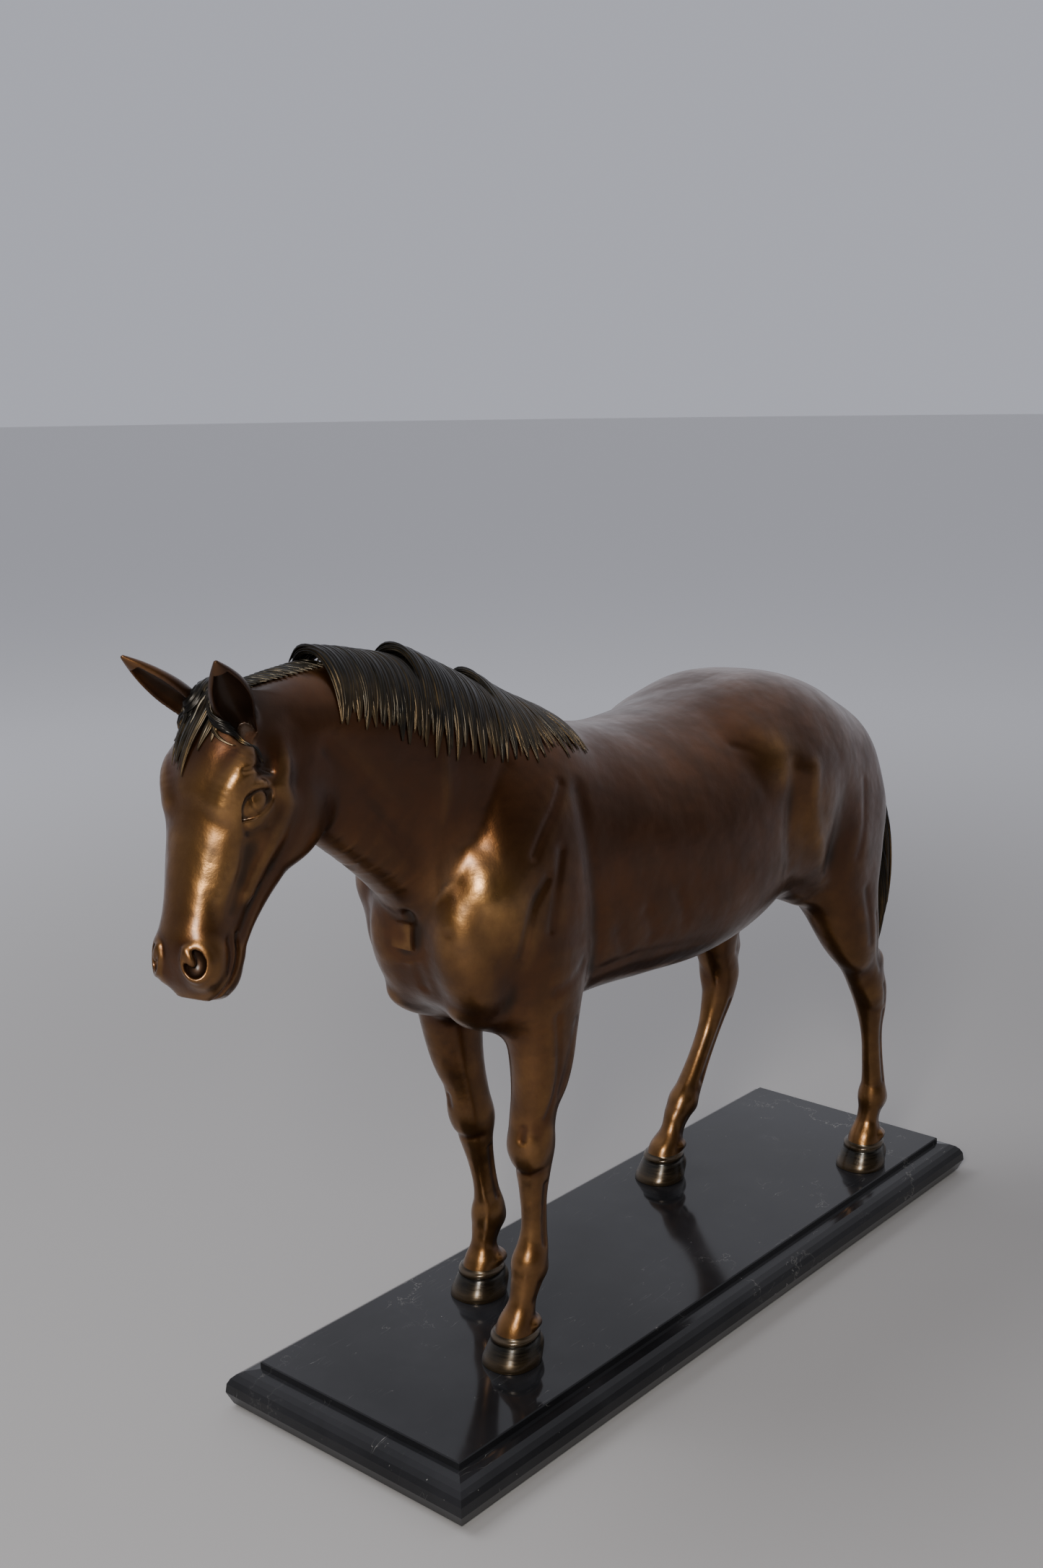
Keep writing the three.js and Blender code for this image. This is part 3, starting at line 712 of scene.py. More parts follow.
def head_field(p, margin):
    """The head's own field at points of the world."""
    own = (p - POLL) @ HEAD
    own[:, 1] = np.abs(own[:, 1])
    d = np.full(len(p), FAR, np.float32)
    for form, soften in HEAD_FORMS:
        add(d, own, form, soften, margin + 8)
    for crease in HEAD_CREASES:
        carve(d, own, crease)
    if margin > 1:
        return d
    add(d, own, *NOSTRIL_RIM, margin)
    cut(d, own, NOSTRIL_HOLE, 1.2, margin)
    add(d, own, *NOSTRIL_FOLD, margin)
    eye = near(own, EYE, 6)
    if eye is not None:
        q = own[eye]
        lids = polygon_side(q[:, [0, 2]], OPENING)
        socket = -smooth_min(-d[eye], np.maximum(lids, 15 - q[:, 1]), 0.8)
        ball = smooth_min(EYE(q), d[eye] + 3.2, 2) + IRIS(q)
        d[eye] = smooth_min(socket, ball, 0.5)
        for form, soften in LIDS:
            add(d, own, form, soften, margin)
    return d


HEAD_LOW = np.array([-395, -60, 268], np.float32)
HEAD_HIGH = np.array([-246, 60, 448], np.float32)


def horse_field(p, margin=0.6):
    """Distance from points to the whole horse's skin, in millimetres, negative inside."""
    p = np.ascontiguousarray(p, np.float32)
    mirrored = p.copy()
    mirrored[:, 1] = -np.abs(p[:, 1])
    d = np.full(len(p), FAR, np.float32)
    add(d, p, TRUNK, 1, margin + 20)
    add(d, p, SHEATH, 10, margin)
    for form, soften in MUSCLES:
        add(d, mirrored, form, soften, margin)
    add(d, p, NECK, 13, margin)
    for sweep, forms, _ in LEGS.values():
        add(d, p, sweep, 11, margin)
        for form, soften in forms:
            add(d, p, form, soften, margin)
    for form, soften in BREAST:
        add(d, p, form, soften, margin)
    for crease in CREASES:
        carve(d, mirrored, crease)
    carve(d, p, BREAST_CREASE)
    for _, _, creases in LEGS.values():
        for crease in creases:
            carve(d, p, crease)
    in_head = np.all((p > HEAD_LOW) & (p < HEAD_HIGH), axis=1)
    if in_head.any():
        q = p[in_head]
        skull = smooth_min(d[in_head], head_field(q, margin), 4.5)
        for ear in EARS:
            add(skull, q, ear.outer, 3.2, margin)
        for ear in EARS:
            cut(skull, q, ear.inner, 0.9, margin)
        d[in_head] = skull
    return d


# ---------------------------------------------------------------- drawing the skin

BLOCK = 8                # grid points along a block's side
CHUNK = 60000            # points that the field is worked out for at a time
HALF_DIAGONAL = 0.87     # of a cube, in its sides


def in_chunks(field, points, **settings):
    return np.concatenate([
        field(points[i:i + CHUNK], **settings) for i in range(0, len(points), CHUNK)
    ]) if len(points) else np.zeros(0, np.float32)


def grid_points(*counts):
    return np.stack(np.meshgrid(*[np.arange(n) for n in counts], indexing="ij"), -1).reshape(-1, 3)


def sampled(field, low, high, step):
    """The field on a regular grid. Blocks far from the skin get only its sign there."""
    counts = [math.ceil((b - a) / step / BLOCK) for a, b in zip(low, high)]
    low = np.array(low, np.float32)
    block_index = grid_points(*counts)
    corners = low + block_index.astype(np.float32) * (BLOCK * step)
    reach = HALF_DIAGONAL * BLOCK * step
    middle = in_chunks(field, corners + 0.5 * (BLOCK - 1) * step, margin=reach * 1.4)
    blocks = np.empty((len(corners), BLOCK**3), np.float32)
    blocks[:] = np.where(middle > 0, 1, -1)[:, None]
    close = np.flatnonzero(np.abs(middle) < reach * 1.5)
    offsets = grid_points(BLOCK, BLOCK, BLOCK).astype(np.float32) * step
    points = (corners[close][:, None] + offsets[None]).reshape(-1, 3)
    blocks[close] = in_chunks(field, points).reshape(-1, BLOCK**3)
    volume = blocks.reshape(*counts, BLOCK, BLOCK, BLOCK).transpose(0, 3, 1, 4, 2, 5)
    return low, volume.reshape([n * BLOCK for n in counts])


CELL_CORNERS = [(i, j, k) for i in (0, 1) for j in (0, 1) for k in (0, 1)]
CELL_EDGES = [
    (a, b) for a in range(8) for b in range(a + 1, 8)
    if sum(x != y for x, y in zip(CELL_CORNERS[a], CELL_CORNERS[b])) == 1
]


def skin(field, low, high, step):
    """Vertices and quads of the field's surface in a box: one vertex to each grid cell that it crosses."""
    low, volume = sampled(field, low, high, step)
    solid = volume < 0
    nx, ny, nz = (n - 1 for n in volume.shape)
    some, every = np.zeros((nx, ny, nz), bool), np.ones((nx, ny, nz), bool)
    for i, j, k in CELL_CORNERS:
        corner = solid[i:i + nx, j:j + ny, k:k + nz]
        some |= corner
        every &= corner
    cells = np.argwhere(some & ~every)
    number = np.full((nx, ny, nz), -1, np.int32)
    number[tuple(cells.T)] = np.arange(len(cells))
    values = np.stack([volume[tuple((cells + c).T)] for c in CELL_CORNERS], 1)
    total, count = np.zeros((len(cells), 3)), np.zeros(len(cells))
    for a, b in CELL_EDGES:
        crossed = (values[:, a] < 0) != (values[:, b] < 0)
        t = values[crossed, a] / (values[crossed, a] - values[crossed, b])
        start, end = np.array(CELL_CORNERS[a]), np.array(CELL_CORNERS[b])
        total[crossed] += start + t[:, None] * (end - start)
        count[crossed] += 1
    vertices = low + step * (cells + total / count[:, None])
    quads = []
    for axis in range(3):
        one, two = [a for a in range(3) if a != axis]
        first = np.take(solid, range(0, solid.shape[axis] - 1), axis)
        second = np.take(solid, range(1, solid.shape[axis]), axis)
        edges = np.argwhere(first != second)
        within = (edges[:, one] > 0) & (edges[:, one] < volume.shape[one] - 1)
        within &= (edges[:, two] > 0) & (edges[:, two] < volume.shape[two] - 1)
        edges = edges[within]
        loop = []
        for back_one, back_two in ((1, 1), (0, 1), (0, 0), (1, 0)):
            cell = edges.copy()
            cell[:, one] -= back_one
            cell[:, two] -= back_two
            loop.append(number[tuple(cell.T)])
        faces = np.stack(loop, 1)
        outward = first[tuple(edges.T)]
        if axis == 1:
            outward = ~outward
        faces[~outward] = faces[~outward][:, ::-1]
        quads.append(faces)
    return vertices.astype(np.float32), np.vstack(quads)


TETRA = np.array([(1, 1, 1), (1, -1, -1), (-1, 1, -1), (-1, -1, 1)], np.float32)


def slope(field, points, h=0.3):
    """Field value and gradient at points, from four samples around each."""
    samples = [in_chunks(field, points + h * corner) for corner in TETRA]
    value = sum(samples) / 4
    gradient = sum(s[:, None] * corner for s, corner in zip(samples, TETRA)) / (4 * h)
    return value, gradient


def settled(field, points, steps=1, offset=0.0, most=1.5):
    """Points moved along the gradient on to the skin, or to a distance from it."""
    for _ in range(steps):
        value, gradient = slope(field, points)
        size = np.maximum((gradient**2).sum(1), 0.05)
        move = np.clip((value - offset) / np.sqrt(size), -most, most)
        points = points - (move / np.sqrt(size))[:, None] * gradient
    return points.astype(np.float32)


def piece_object(name, vertices, faces, normals, attributes, nodes):
    """A Blender object from millimetre vertices, in the place of the CAD nodes named."""
    mesh = bpy.data.meshes.new(name)
    mesh.from_pydata((vertices * METRE).tolist(), [], faces)
    mesh.validate()
    mesh.polygons.foreach_set("use_smooth", np.ones(len(mesh.polygons), bool))
    for key, values in attributes.items():
        layer = mesh.attributes.new(key, "FLOAT", "POINT")
        layer.data.foreach_set("value", np.asarray(values, np.float32))
    if normals is not None:
        mesh.normals_split_custom_set_from_vertices(normals.tolist())
    mesh.update()
    thing = bpy.data.objects.new(name, mesh)
    bpy.context.scene.collection.objects.link(thing)
    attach(thing, "root")
    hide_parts(*nodes)
    return thing


def smoothed(values, edges, count, rounds):
    """Values blurred over the mesh: each round takes the mean of a vertex's neighbours."""
    n = len(values)
    for _ in range(rounds):
        total = np.bincount(edges[:, 0], values[edges[:, 1]], n)
        total = total + np.bincount(edges[:, 1], values[edges[:, 0]], n)
        values = total / count
    return values


def mesh_normals(points, quads):
    a, b, c, d = (points[quads[:, i]] for i in range(4))
    face_normals = np.cross(c - a, d - b)
    normals = np.zeros((len(points), 3))
    for i in range(4):
        for axis in range(3):
            normals[:, axis] += np.bincount(quads[:, i], face_normals[:, axis], len(points))
    return normals / np.maximum(np.linalg.norm(normals, axis=1), 1e-9)[:, None]


def standing_out(vertices, quads, wide, even):
    """Relief: how far the skin stands above a smoothed copy of itself, in millimetres."""
    normals = mesh_normals(vertices, quads)
    edges = np.vstack([quads[:, [i, (i + 1) % 4]] for i in range(4)])
    n = len(vertices)
    count = np.maximum(np.bincount(edges[:, 0], minlength=n) + np.bincount(edges[:, 1], minlength=n), 1)
    blurred = np.stack([smoothed(vertices[:, a].astype(float), edges, count, wide) for a in range(3)], 1)
    return smoothed(((vertices - blurred) * normals).sum(1), edges, count, even)


RELIEF_AREA = 30         # square millimetres that the relief is measured against


def casting(name, low, high, step, planes, nodes, field=horse_field):
    """One casting: the skin inside a box, cut flat at the planes, (point, outward normal), and closed."""
    vertices, quads = skin(field, low, high, step)
    vertices = settled(field, vertices, 1, most=0.6 * step)
    relief = standing_out(vertices, quads, wide=max(3, round(RELIEF_AREA / step / step)), even=2)
    mesh = bpy.data.meshes.new(name)
    mesh.from_pydata(vertices.tolist(), [], quads.tolist())
    mesh.attributes.new("relief", "FLOAT", "POINT").data.foreach_set("value", relief.astype(np.float32))
    work = bmesh.new()
    work.from_mesh(mesh)
    bpy.data.meshes.remove(mesh)
    for point, outward in planes:
        everything = work.verts[:] + work.edges[:] + work.faces[:]
        bmesh.ops.bisect_plane(
            work, geom=everything, dist=1e-4, plane_co=point, plane_no=outward, clear_outer=True,
        )
    caps = bmesh.ops.holes_fill(work, edges=[e for e in work.edges if e.is_boundary], sides=0)["faces"]
    if caps:
        bmesh.ops.poke(work, faces=caps)
    loose = [v for v in work.verts if not v.link_faces]
    bmesh.ops.delete(work, geom=loose, context="VERTS")
    bmesh.ops.triangulate(work, faces=[f for f in work.faces if len(f.verts) > 3])
    work.verts.index_update()
    points = np.array([v.co for v in work.verts], np.float32)
    faces = np.array([[v.index for v in f.verts] for f in work.faces])
    layer = work.verts.layers.float["relief"]
    relief = np.array([v[layer] for v in work.verts], np.float32)
    work.free()
    for middle, facing in planes:
        facing = unit(facing)
        rim = np.flatnonzero(np.abs((points - np.asarray(middle, np.float32)) @ facing) < 0.01)
        distance, gradient = slope(field, points[rim])
        gradient -= (gradient @ facing)[:, None] * facing
        steep = np.maximum((gradient**2).sum(1), 0.2)
        move = np.where(np.abs(distance) < 0.6 * step, distance / steep, 0)
        points[rim] -= move[:, None] * gradient
    _, gradient = slope(field, points)
    normals = gradient / np.maximum(np.linalg.norm(gradient, axis=1), 1e-6)[:, None]
    return piece_object(name, points, faces.tolist(), normals, {"relief": relief}, nodes)


# ---------------------------------------------------------------- finishes


class Finish:
    """A node material under construction: a Principled shader and helpers that add nodes to it."""

    def __init__(self, name, **uniform):
        self.material = bpy.data.materials.new(name)
        self.material.use_nodes = True
        self.tree = self.material.node_tree
        self.shader = self.tree.nodes["Principled BSDF"]
        for key, value in uniform.items():
            self.shader.inputs[key.replace("_", " ")].default_value = value
        self.place = self.tree.nodes.new("ShaderNodeTexCoord").outputs["Object"]

    def link(self, output, target):
        self.tree.links.new(output, target)

    def noise(self, scale, detail=4, roughness=0.55, stretch=None):
        node = self.tree.nodes.new("ShaderNodeTexNoise")
        node.inputs["Scale"].default_value = scale
        node.inputs["Detail"].default_value = detail
        node.inputs["Roughness"].default_value = roughness
        place = self.place
        if stretch is not None:
            mapping = self.tree.nodes.new("ShaderNodeMapping")
            mapping.inputs["Scale"].default_value = stretch
            self.link(place, mapping.inputs["Vector"])
            place = mapping.outputs["Vector"]
        self.link(place, node.inputs["Vector"])
        return node.outputs["Fac"]

    def attribute(self, name):
        node = self.tree.nodes.new("ShaderNodeAttribute")
        node.attribute_name = name
        return node.outputs["Fac"]

    def math(self, operation, a, b=0.0, c=0.0, clamp=False):
        node = self.tree.nodes.new("ShaderNodeMath")
        node.operation = operation
        node.use_clamp = clamp
        for socket, value in zip(node.inputs, (a, b, c)):
            if isinstance(value, (int, float)):
                socket.default_value = value
            else:
                self.link(value, socket)
        return node.outputs[0]

    def scaled(self, value, low, high, to_low=0.0, to_high=1.0):
        node = self.tree.nodes.new("ShaderNodeMapRange")
        node.interpolation_type = "SMOOTHSTEP"
        self.link(value, node.inputs["Value"])
        for key, number in (("From Min", low), ("From Max", high), ("To Min", to_low), ("To Max", to_high)):
            node.inputs[key].default_value = number
        return node.outputs["Result"]

    def blend(self, share, one, two):
        node = self.tree.nodes.new("ShaderNodeMix")
        node.data_type = "RGBA"
        self.link(share, node.inputs[0])
        for socket, value in ((node.inputs[6], one), (node.inputs[7], two)):
            if isinstance(value, tuple):
                socket.default_value = (*value, 1)
            else:
                self.link(value, socket)
        return node.outputs[2]

    def bump(self, height, strength, distance):
        node = self.tree.nodes.new("ShaderNodeBump")
        node.inputs["Strength"].default_value = strength
        node.inputs["Distance"].default_value = distance
        self.link(height, node.inputs["Height"])
        self.link(node.outputs["Normal"], self.shader.inputs["Normal"])

    def colour(self, output):
        self.link(output, self.shader.inputs["Base Color"])

    def roughness(self, output):
        self.link(output, self.shader.inputs["Roughness"])


def bronze_finish():
    """Brown patina, darker in the creases, rubbed to gold on the raised forms and with painted gold
    highlights where the gold attribute puts them, under a coat of wax.
    """
    f = Finish("bronze_patina", Metallic=0.95, Coat_Weight=0.42, Coat_Roughness=0.26, Coat_IOR=1.5)
    relief = f.attribute("relief")
    gold = f.attribute("gold")
    clouds = f.noise(14, 3, 0.5)
    mottle = f.noise(60, 5, 0.6)
    speck = f.noise(900, 2, 0.5)
    brown = f.blend(f.scaled(clouds, 0.35, 0.65), (0.072, 0.0245, 0.0066), (0.108, 0.038, 0.0098))
    brown = f.blend(f.scaled(mottle, 0.3, 0.75, 0, 0.55), brown, (0.054, 0.0225, 0.0078))
    # Gold share: rubbed wear on the raised forms, plus the gold attribute, which also holds painted
    # highlights on the shoulder point, hip and nose bridge.
    crest = f.math("ADD", f.scaled(relief, 0.05, 0.6, 0, 0.4), gold)
    crest = f.math("MULTIPLY", crest, f.scaled(mottle, 0.25, 0.7, 1.15, 0.55), clamp=True)
    # Patina turned gold: partly rubbed wear, partly painted highlight.
    rubbed_and_highlit = f.blend(crest, brown, (0.34, 0.175, 0.055))
    stain = f.math("MULTIPLY", gold, -1.0)
    dark = f.math("MAXIMUM", f.scaled(relief, -0.06, -0.6, 0, 0.78), stain, clamp=True)
    stained = f.blend(dark, rubbed_and_highlit, (0.020, 0.012, 0.007))
    f.colour(stained)
    dull = f.math("ADD", f.scaled(mottle, 0.3, 0.7, 0.31, 0.42), f.math("MULTIPLY", dark, 0.18))
    f.roughness(f.math("SUBTRACT", dull, f.math("MULTIPLY", crest, 0.05)))
    tooling = f.math("ADD", f.noise(42, 2, 0.5), f.math("MULTIPLY", mottle, 0.22))
    f.bump(f.math("ADD", tooling, f.math("MULTIPLY", speck, 0.02)), 0.55, 0.0034)
    return f.material


def hair_finish():
    """Green-black patina, rubbed through to gold on the crests of the strands."""
    f = Finish("hair_patina", Metallic=0.9, Coat_Weight=0.2, Coat_Roughness=0.3)
    relief = f.attribute("relief")
    gold = f.attribute("gold")
    mottle = f.noise(120, 4, 0.6)
    base = f.blend(f.scaled(mottle, 0.35, 0.65), (0.020, 0.0175, 0.012), (0.038, 0.030, 0.018))
    where = f.math("ADD", gold, f.scaled(mottle, 0.5, 0.8, 0, 0.3))
    rub = f.math("MULTIPLY", f.scaled(relief, 0.0, 0.28, 0.12, 1), where, clamp=True)
    worn = f.blend(rub, base, (0.50, 0.29, 0.095))
    deep = f.scaled(relief, -0.02, -0.25, 0, 0.9)
    f.colour(f.blend(deep, worn, (0.008, 0.007, 0.006)))
    f.roughness(f.scaled(mottle, 0.3, 0.7, 0.30, 0.42))
    f.bump(mottle, 0.12, 0.0004)
    return f.material


def hoof_finish():
    f = Finish("hoof_patina", Metallic=0.8, Coat_Weight=0.5, Coat_Roughness=0.2)
    relief = f.attribute("relief")
    bands = f.noise(90, 3, 0.5, (1, 1, 9))
    base = f.blend(f.scaled(bands, 0.35, 0.7), (0.010, 0.009, 0.007), (0.026, 0.021, 0.014))
    f.colour(f.blend(f.scaled(relief, 0.15, 0.6, 0, 0.3), base, (0.16, 0.10, 0.045)))
    f.roughness(f.scaled(bands, 0.3, 0.7, 0.24, 0.38))
    f.bump(bands, 0.2, 0.0003)
    return f.material


def marble_finish():
    """Polished black marble with thin pale veins, fine scratches and a few flecks."""
    f = Finish("black_marble", Specular_IOR_Level=0.27)
    drift = f.noise(7, 5, 0.6)
    wander = f.noise(16, 6, 0.65)
    vein = f.math("ABSOLUTE", f.math("SUBTRACT", wander, 0.5))
    vein = f.math("MULTIPLY", f.scaled(vein, 0.0, 0.006, 1, 0), f.scaled(drift, 0.53, 0.68))
    scratch = f.math("ABSOLUTE", f.math("SUBTRACT", f.noise(22, 3, 0.4, (1.0, 6.0, 1.0)), 0.5))
    scratch = f.math("MULTIPLY", f.scaled(scratch, 0.0, 0.0025, 0.5, 0), f.scaled(f.noise(60, 2), 0.55, 0.7))
    fleck = f.scaled(f.noise(420, 2, 0.5), 0.77, 0.80, 0, 0.6)
    cloud = f.blend(f.scaled(drift, 0.3, 0.7), (0.0065, 0.0065, 0.0072), (0.017, 0.017, 0.019))
    pale = f.math("ADD", f.math("ADD", f.math("MULTIPLY", vein, 0.35), scratch), fleck, clamp=True)
    f.colour(f.blend(pale, cloud, (0.30, 0.29, 0.27)))
    f.roughness(f.scaled(drift, 0.3, 0.7, 0.07, 0.13))
    return f.material


def felt_finish():
    f = Finish("felt_wool", Sheen_Weight=0.3)
    fibre = f.noise(1500, 3, 0.7)
    f.colour(f.blend(f.scaled(fibre, 0.3, 0.7), (0.008, 0.016, 0.010), (0.022, 0.036, 0.024)))
    f.roughness(f.scaled(fibre, 0.3, 0.7, 0.85, 0.98))
    f.bump(fibre, 0.6, 0.0004)
    return f.material


def steel_finish():
    f = Finish("plain_steel", Metallic=1.0)
    turning = f.noise(260, 3, 0.6, (1, 1, 12))
    f.colour(f.blend(f.scaled(turning, 0.3, 0.7), (0.34, 0.34, 0.35), (0.52, 0.52, 0.53)))
    f.roughness(f.scaled(turning, 0.3, 0.7, 0.28, 0.45))
    f.bump(turning, 0.2, 0.0002)
    return f.material


BRONZE = bronze_finish()
HAIR = hair_finish()
HOOF = hoof_finish()
MARBLE = marble_finish()
FELT = felt_finish()
STEEL = steel_finish()

# ---------------------------------------------------------------- the castings

LEG_CUT = 204.0          # height of the joint between a leg and the trunk
CORONET_CUT = 43.3       # height of the joint between a leg and its hoof
HEAD_CUT = ((-279, 0, 391), unit((-0.88, 0, -0.474)))
COARSE = 1.0


def flipped(cut):
    return cut[0], -cut[1]


DOWN, UP = np.array([0, 0, -1.0]), np.array([0, 0, 1.0])

body = casting(
    "body", (-312, -80, 196), (220, 80, 434), 1.85 * COARSE,
    [((0, 0, LEG_CUT), DOWN), HEAD_CUT], ["trunk_casting", "neck_casting"],
)
head = casting(
    "head", HEAD_LOW + 4, HEAD_HIGH - 2, 0.8 * COARSE,
    [flipped(HEAD_CUT)], ["head_casting", "left_ear", "right_ear"],
)
legs = {}
for leg_name, rows in LEG_STATIONS.items():
    xyz = np.array([r for r in rows if r[2] < 240], float)
    reach = xyz[:, 4].max() + 8
    low = (xyz[:, 0].min() - reach, xyz[:, 1].min() - 34, CORONET_CUT - 4)
    high = (xyz[:, 0].max() + reach, xyz[:, 1].max() + 34, LEG_CUT + 4)
    if leg_name.endswith("left"):
        high = (high[0], min(high[1], -1.0), high[2])
    else:
        low = (low[0], max(low[1], 1.0), low[2])
    legs[leg_name] = casting(
        leg_name, low, high, 1.1 * COARSE,
        [((0, 0, LEG_CUT), UP), ((0, 0, CORONET_CUT), DOWN)], [leg_name + "_leg"],
    )

# ---------------------------------------------------------------- hair

LOCK_STEPS = 30          # rings along a lock
RIDGE_SIDES = 8          # corners around each strand of a lock


def lock_mesh(path, out, width, thick, ridges, twist):
    """One lock: a flat tapering form whose surface is grooved into strands that run to its tip."""
    n = len(path)
    t = np.linspace(0, 1, n)[:, None]
    along = np.gradient(path, axis=0)
    along /= np.linalg.norm(along, axis=1)[:, None]
    out = out - (out * along).sum(1)[:, None] * along
    out /= np.linalg.norm(out, axis=1)[:, None]
    side = np.cross(along, out)
    taper = np.clip(t / 0.12, 0.05, 1) ** 0.5 * np.clip(1 - ((t - 0.35) / 0.68).clip(0) ** 1.8, 0.03, 1)
    angle = np.linspace(0, 2 * math.pi, ridges * RIDGE_SIDES, endpoint=False)[None]
    groove = np.abs(np.cos(0.5 * ridges * angle + twist * t * 2)) ** 0.55
    depth = 0.34 * np.clip(t / 0.1, 0, 1)
    radius = taper * (1 - depth * (1 - groove))
    across = (radius * width * 0.5 * np.cos(angle))[..., None] * side[:, None]
    upward = (radius * thick * 0.5 * np.sin(angle))[..., None] * out[:, None]
    points = (path[:, None] + across + upward).reshape(-1, 3)
    m = angle.shape[1]
    ring_start = np.arange(n - 1)[:, None] * m
    here, there = np.arange(m)[None], (np.arange(m)[None] + 1) % m
    next_ring = ring_start + m
    quads = np.stack([ring_start + here, ring_start + there, next_ring + there, next_ring + here], -1)
    caps = [list(range(m))[::-1], [(n - 1) * m + i for i in range(m)]]
    return points, quads.reshape(-1, 4), caps


class Hair:
    """Locks gathered for one piece, so that their paths are laid together, which is quicker."""

    def __init__(self, worn=1.0):
        self.locks = []
        self.worn = worn

    def lock(self, points, width, thick, ridges=7, lift=(1.0, 0.6), wave=0.0, bulge=0.0):
        path = smooth_path(points, 8)
        at = np.linspace(0, len(path) - 1, LOCK_STEPS)
        path = np.stack([np.interp(at, np.arange(len(path)), path[:, a]) for a in range(3)], 1)
        t = np.linspace(0, 1, LOCK_STEPS)
        swell = bulge * np.exp(-((t - 0.2) / 0.25) ** 2) * np.clip(t / 0.12, 0, 1)
        height = lift[0] + (lift[1] - lift[0]) * t + swell
        twist, phase = rng.uniform(-1, 1), rng.uniform(0, 6.28)
        self.locks.append((path, height, width, thick, ridges, wave, twist, phase))

    def build(self, name, nodes, core=None):
        """Makes the piece. Its locks are laid on the skin, or stand out around a core line."""
        paths = np.concatenate([lock[0] for lock in self.locks]).astype(np.float32)
        heights = np.concatenate([lock[1] for lock in self.locks]).astype(np.float32)
        if core is None:
            paths = settled(horse_field, paths, 5, heights, most=6)
            _, outs = slope(horse_field, paths, 1.0)
        else:
            middle = [np.interp(-paths[:, 2], -core[:, 2], core[:, axis]) for axis in range(2)]
            upward = np.full(len(paths), 0.01)
            outs = np.column_stack([paths[:, 0] - middle[0], paths[:, 1] - middle[1], upward])
        outs = outs / np.maximum(np.linalg.norm(outs, axis=1), 1e-6)[:, None]
        points, quads, caps, tips, count = [], [], [], [], 0
        for i, (_, _, width, thick, ridges, wave, twist, phase) in enumerate(self.locks):
            rows = slice(i * LOCK_STEPS, (i + 1) * LOCK_STEPS)
            path, out = paths[rows].astype(float), outs[rows].astype(float)
            for _ in range(2):
                path[1:-1] = (path[:-2] + 2 * path[1:-1] + path[2:]) / 4
                out[1:-1] = (out[:-2] + 2 * out[1:-1] + out[2:]) / 4
            t = np.linspace(0, 1, LOCK_STEPS)
            along = np.gradient(path, axis=0)
            side = np.cross(along, out)
            side /= np.linalg.norm(side, axis=1)[:, None]
            path = path + side * (wave * t * np.sin(phase + 7 * t))[:, None]
            p, q, c = lock_mesh(path, out, width, thick, ridges, twist)
            points.append(p)
            quads.append(q + count)
            caps += [[v + count for v in cap] for cap in c]
            tips.append(np.repeat(self.worn * t**2 * rng.uniform(0.1, 1.2), len(p) // LOCK_STEPS))
            count += len(p)
        points, quads, tips = np.concatenate(points), np.concatenate(quads), np.concatenate(tips)
        attributes = {"relief": standing_out(points, quads, wide=4, even=0), "gold": tips}
        thing = piece_object(name, points, quads.tolist() + caps, None, attributes, nodes)
        thing.data.materials.append(HAIR)


def crest_height(x):
    """Height of the neck's crest at x."""
    xs, zs = zip((-312, 423), (-294, 423), (-249, 425), (-215, 421), (-179, 411), (-146, 396), (-109, 380))
    return float(np.interp(x, xs, zs))


# Layers of a mane clump: share of the drop, width, thickness, height above the skin, strands.
MANE_LAYERS = [(1.0, 9.0, 4.0, 1.2, 9), (0.9, 6.5, 3.2, 2.3, 7), (0.7, 3.2, 2.0, 3.4, 4)]


def mane_clump(first, last, count, drops, lean, bulge, name, nodes):
    """Locks rooted along the crest from first to last, falling down the left side of the neck."""
    hair = Hair()
    for layer, (share, width, thick, lift, strands) in enumerate(MANE_LAYERS):
        for i in range(count):
            q = (i + 0.5 * (layer % 2)) / (count - 0.5)
            x = first + (last - first) * q + rng.uniform(-1, 1)
            z = crest_height(x)
            drop = (drops[0] + (drops[1] - drops[0]) * q) * rng.uniform(0.88, 1.1) * share
            shift = lean[0] + (lean[1] - lean[0]) * q
            points = [
                (x - 5, 6.5, z - 4.5), (x - 3, 2.5, z), (x + 0.5, -3.5, z - 0.5),
                (x + 2.5 + 0.28 * drop * shift, -12, z - 0.28 * drop),
                (x + 2 + 0.62 * drop * shift, -20, z - 0.62 * drop),
                (x + 1.5 + drop * shift, -27, z - drop),
            ]
            hair.lock(
                points, width * rng.uniform(0.85, 1.15), thick, strands,
                lift=(lift, 0.5 + 0.35 * layer), wave=rng.uniform(0.3, 1.3), bulge=bulge * (1 - q) ** 1.6,
            )
    hair.build(name, nodes)


mane_clump(-262, -211, 10, (22, 37), (-0.30, -0.25), 6.5, "mane_front", ["mane_front_lock"])
mane_clump(-209, -160, 9, (40, 42), (-0.22, -0.10), 6.0, "mane_middle", ["mane_middle_lock"])
mane_clump(-158, -112, 9, (41, 30), (0.0, 0.35), 5.0, "mane_rear", ["mane_rear_lock"])

# The clipped mane: short locks leaning over from right to left.
clipped = Hair(worn=0.3)
for i in range(17):
    x = -314 + 3.1 * i
    z = crest_height(x)
    clipped.lock(
        [(x - 3, 4.5, z - 2), (x - 1, 1, z + 1), (x + 2.5, -3, z), (x + 5, -6.5, z - 3.5)],
        4.2, 3.0, 5, lift=(1.2, 0.8), wave=0.2, bulge=0.8,
    )
clipped.build("clipped_mane_hair", ["clipped_mane"])

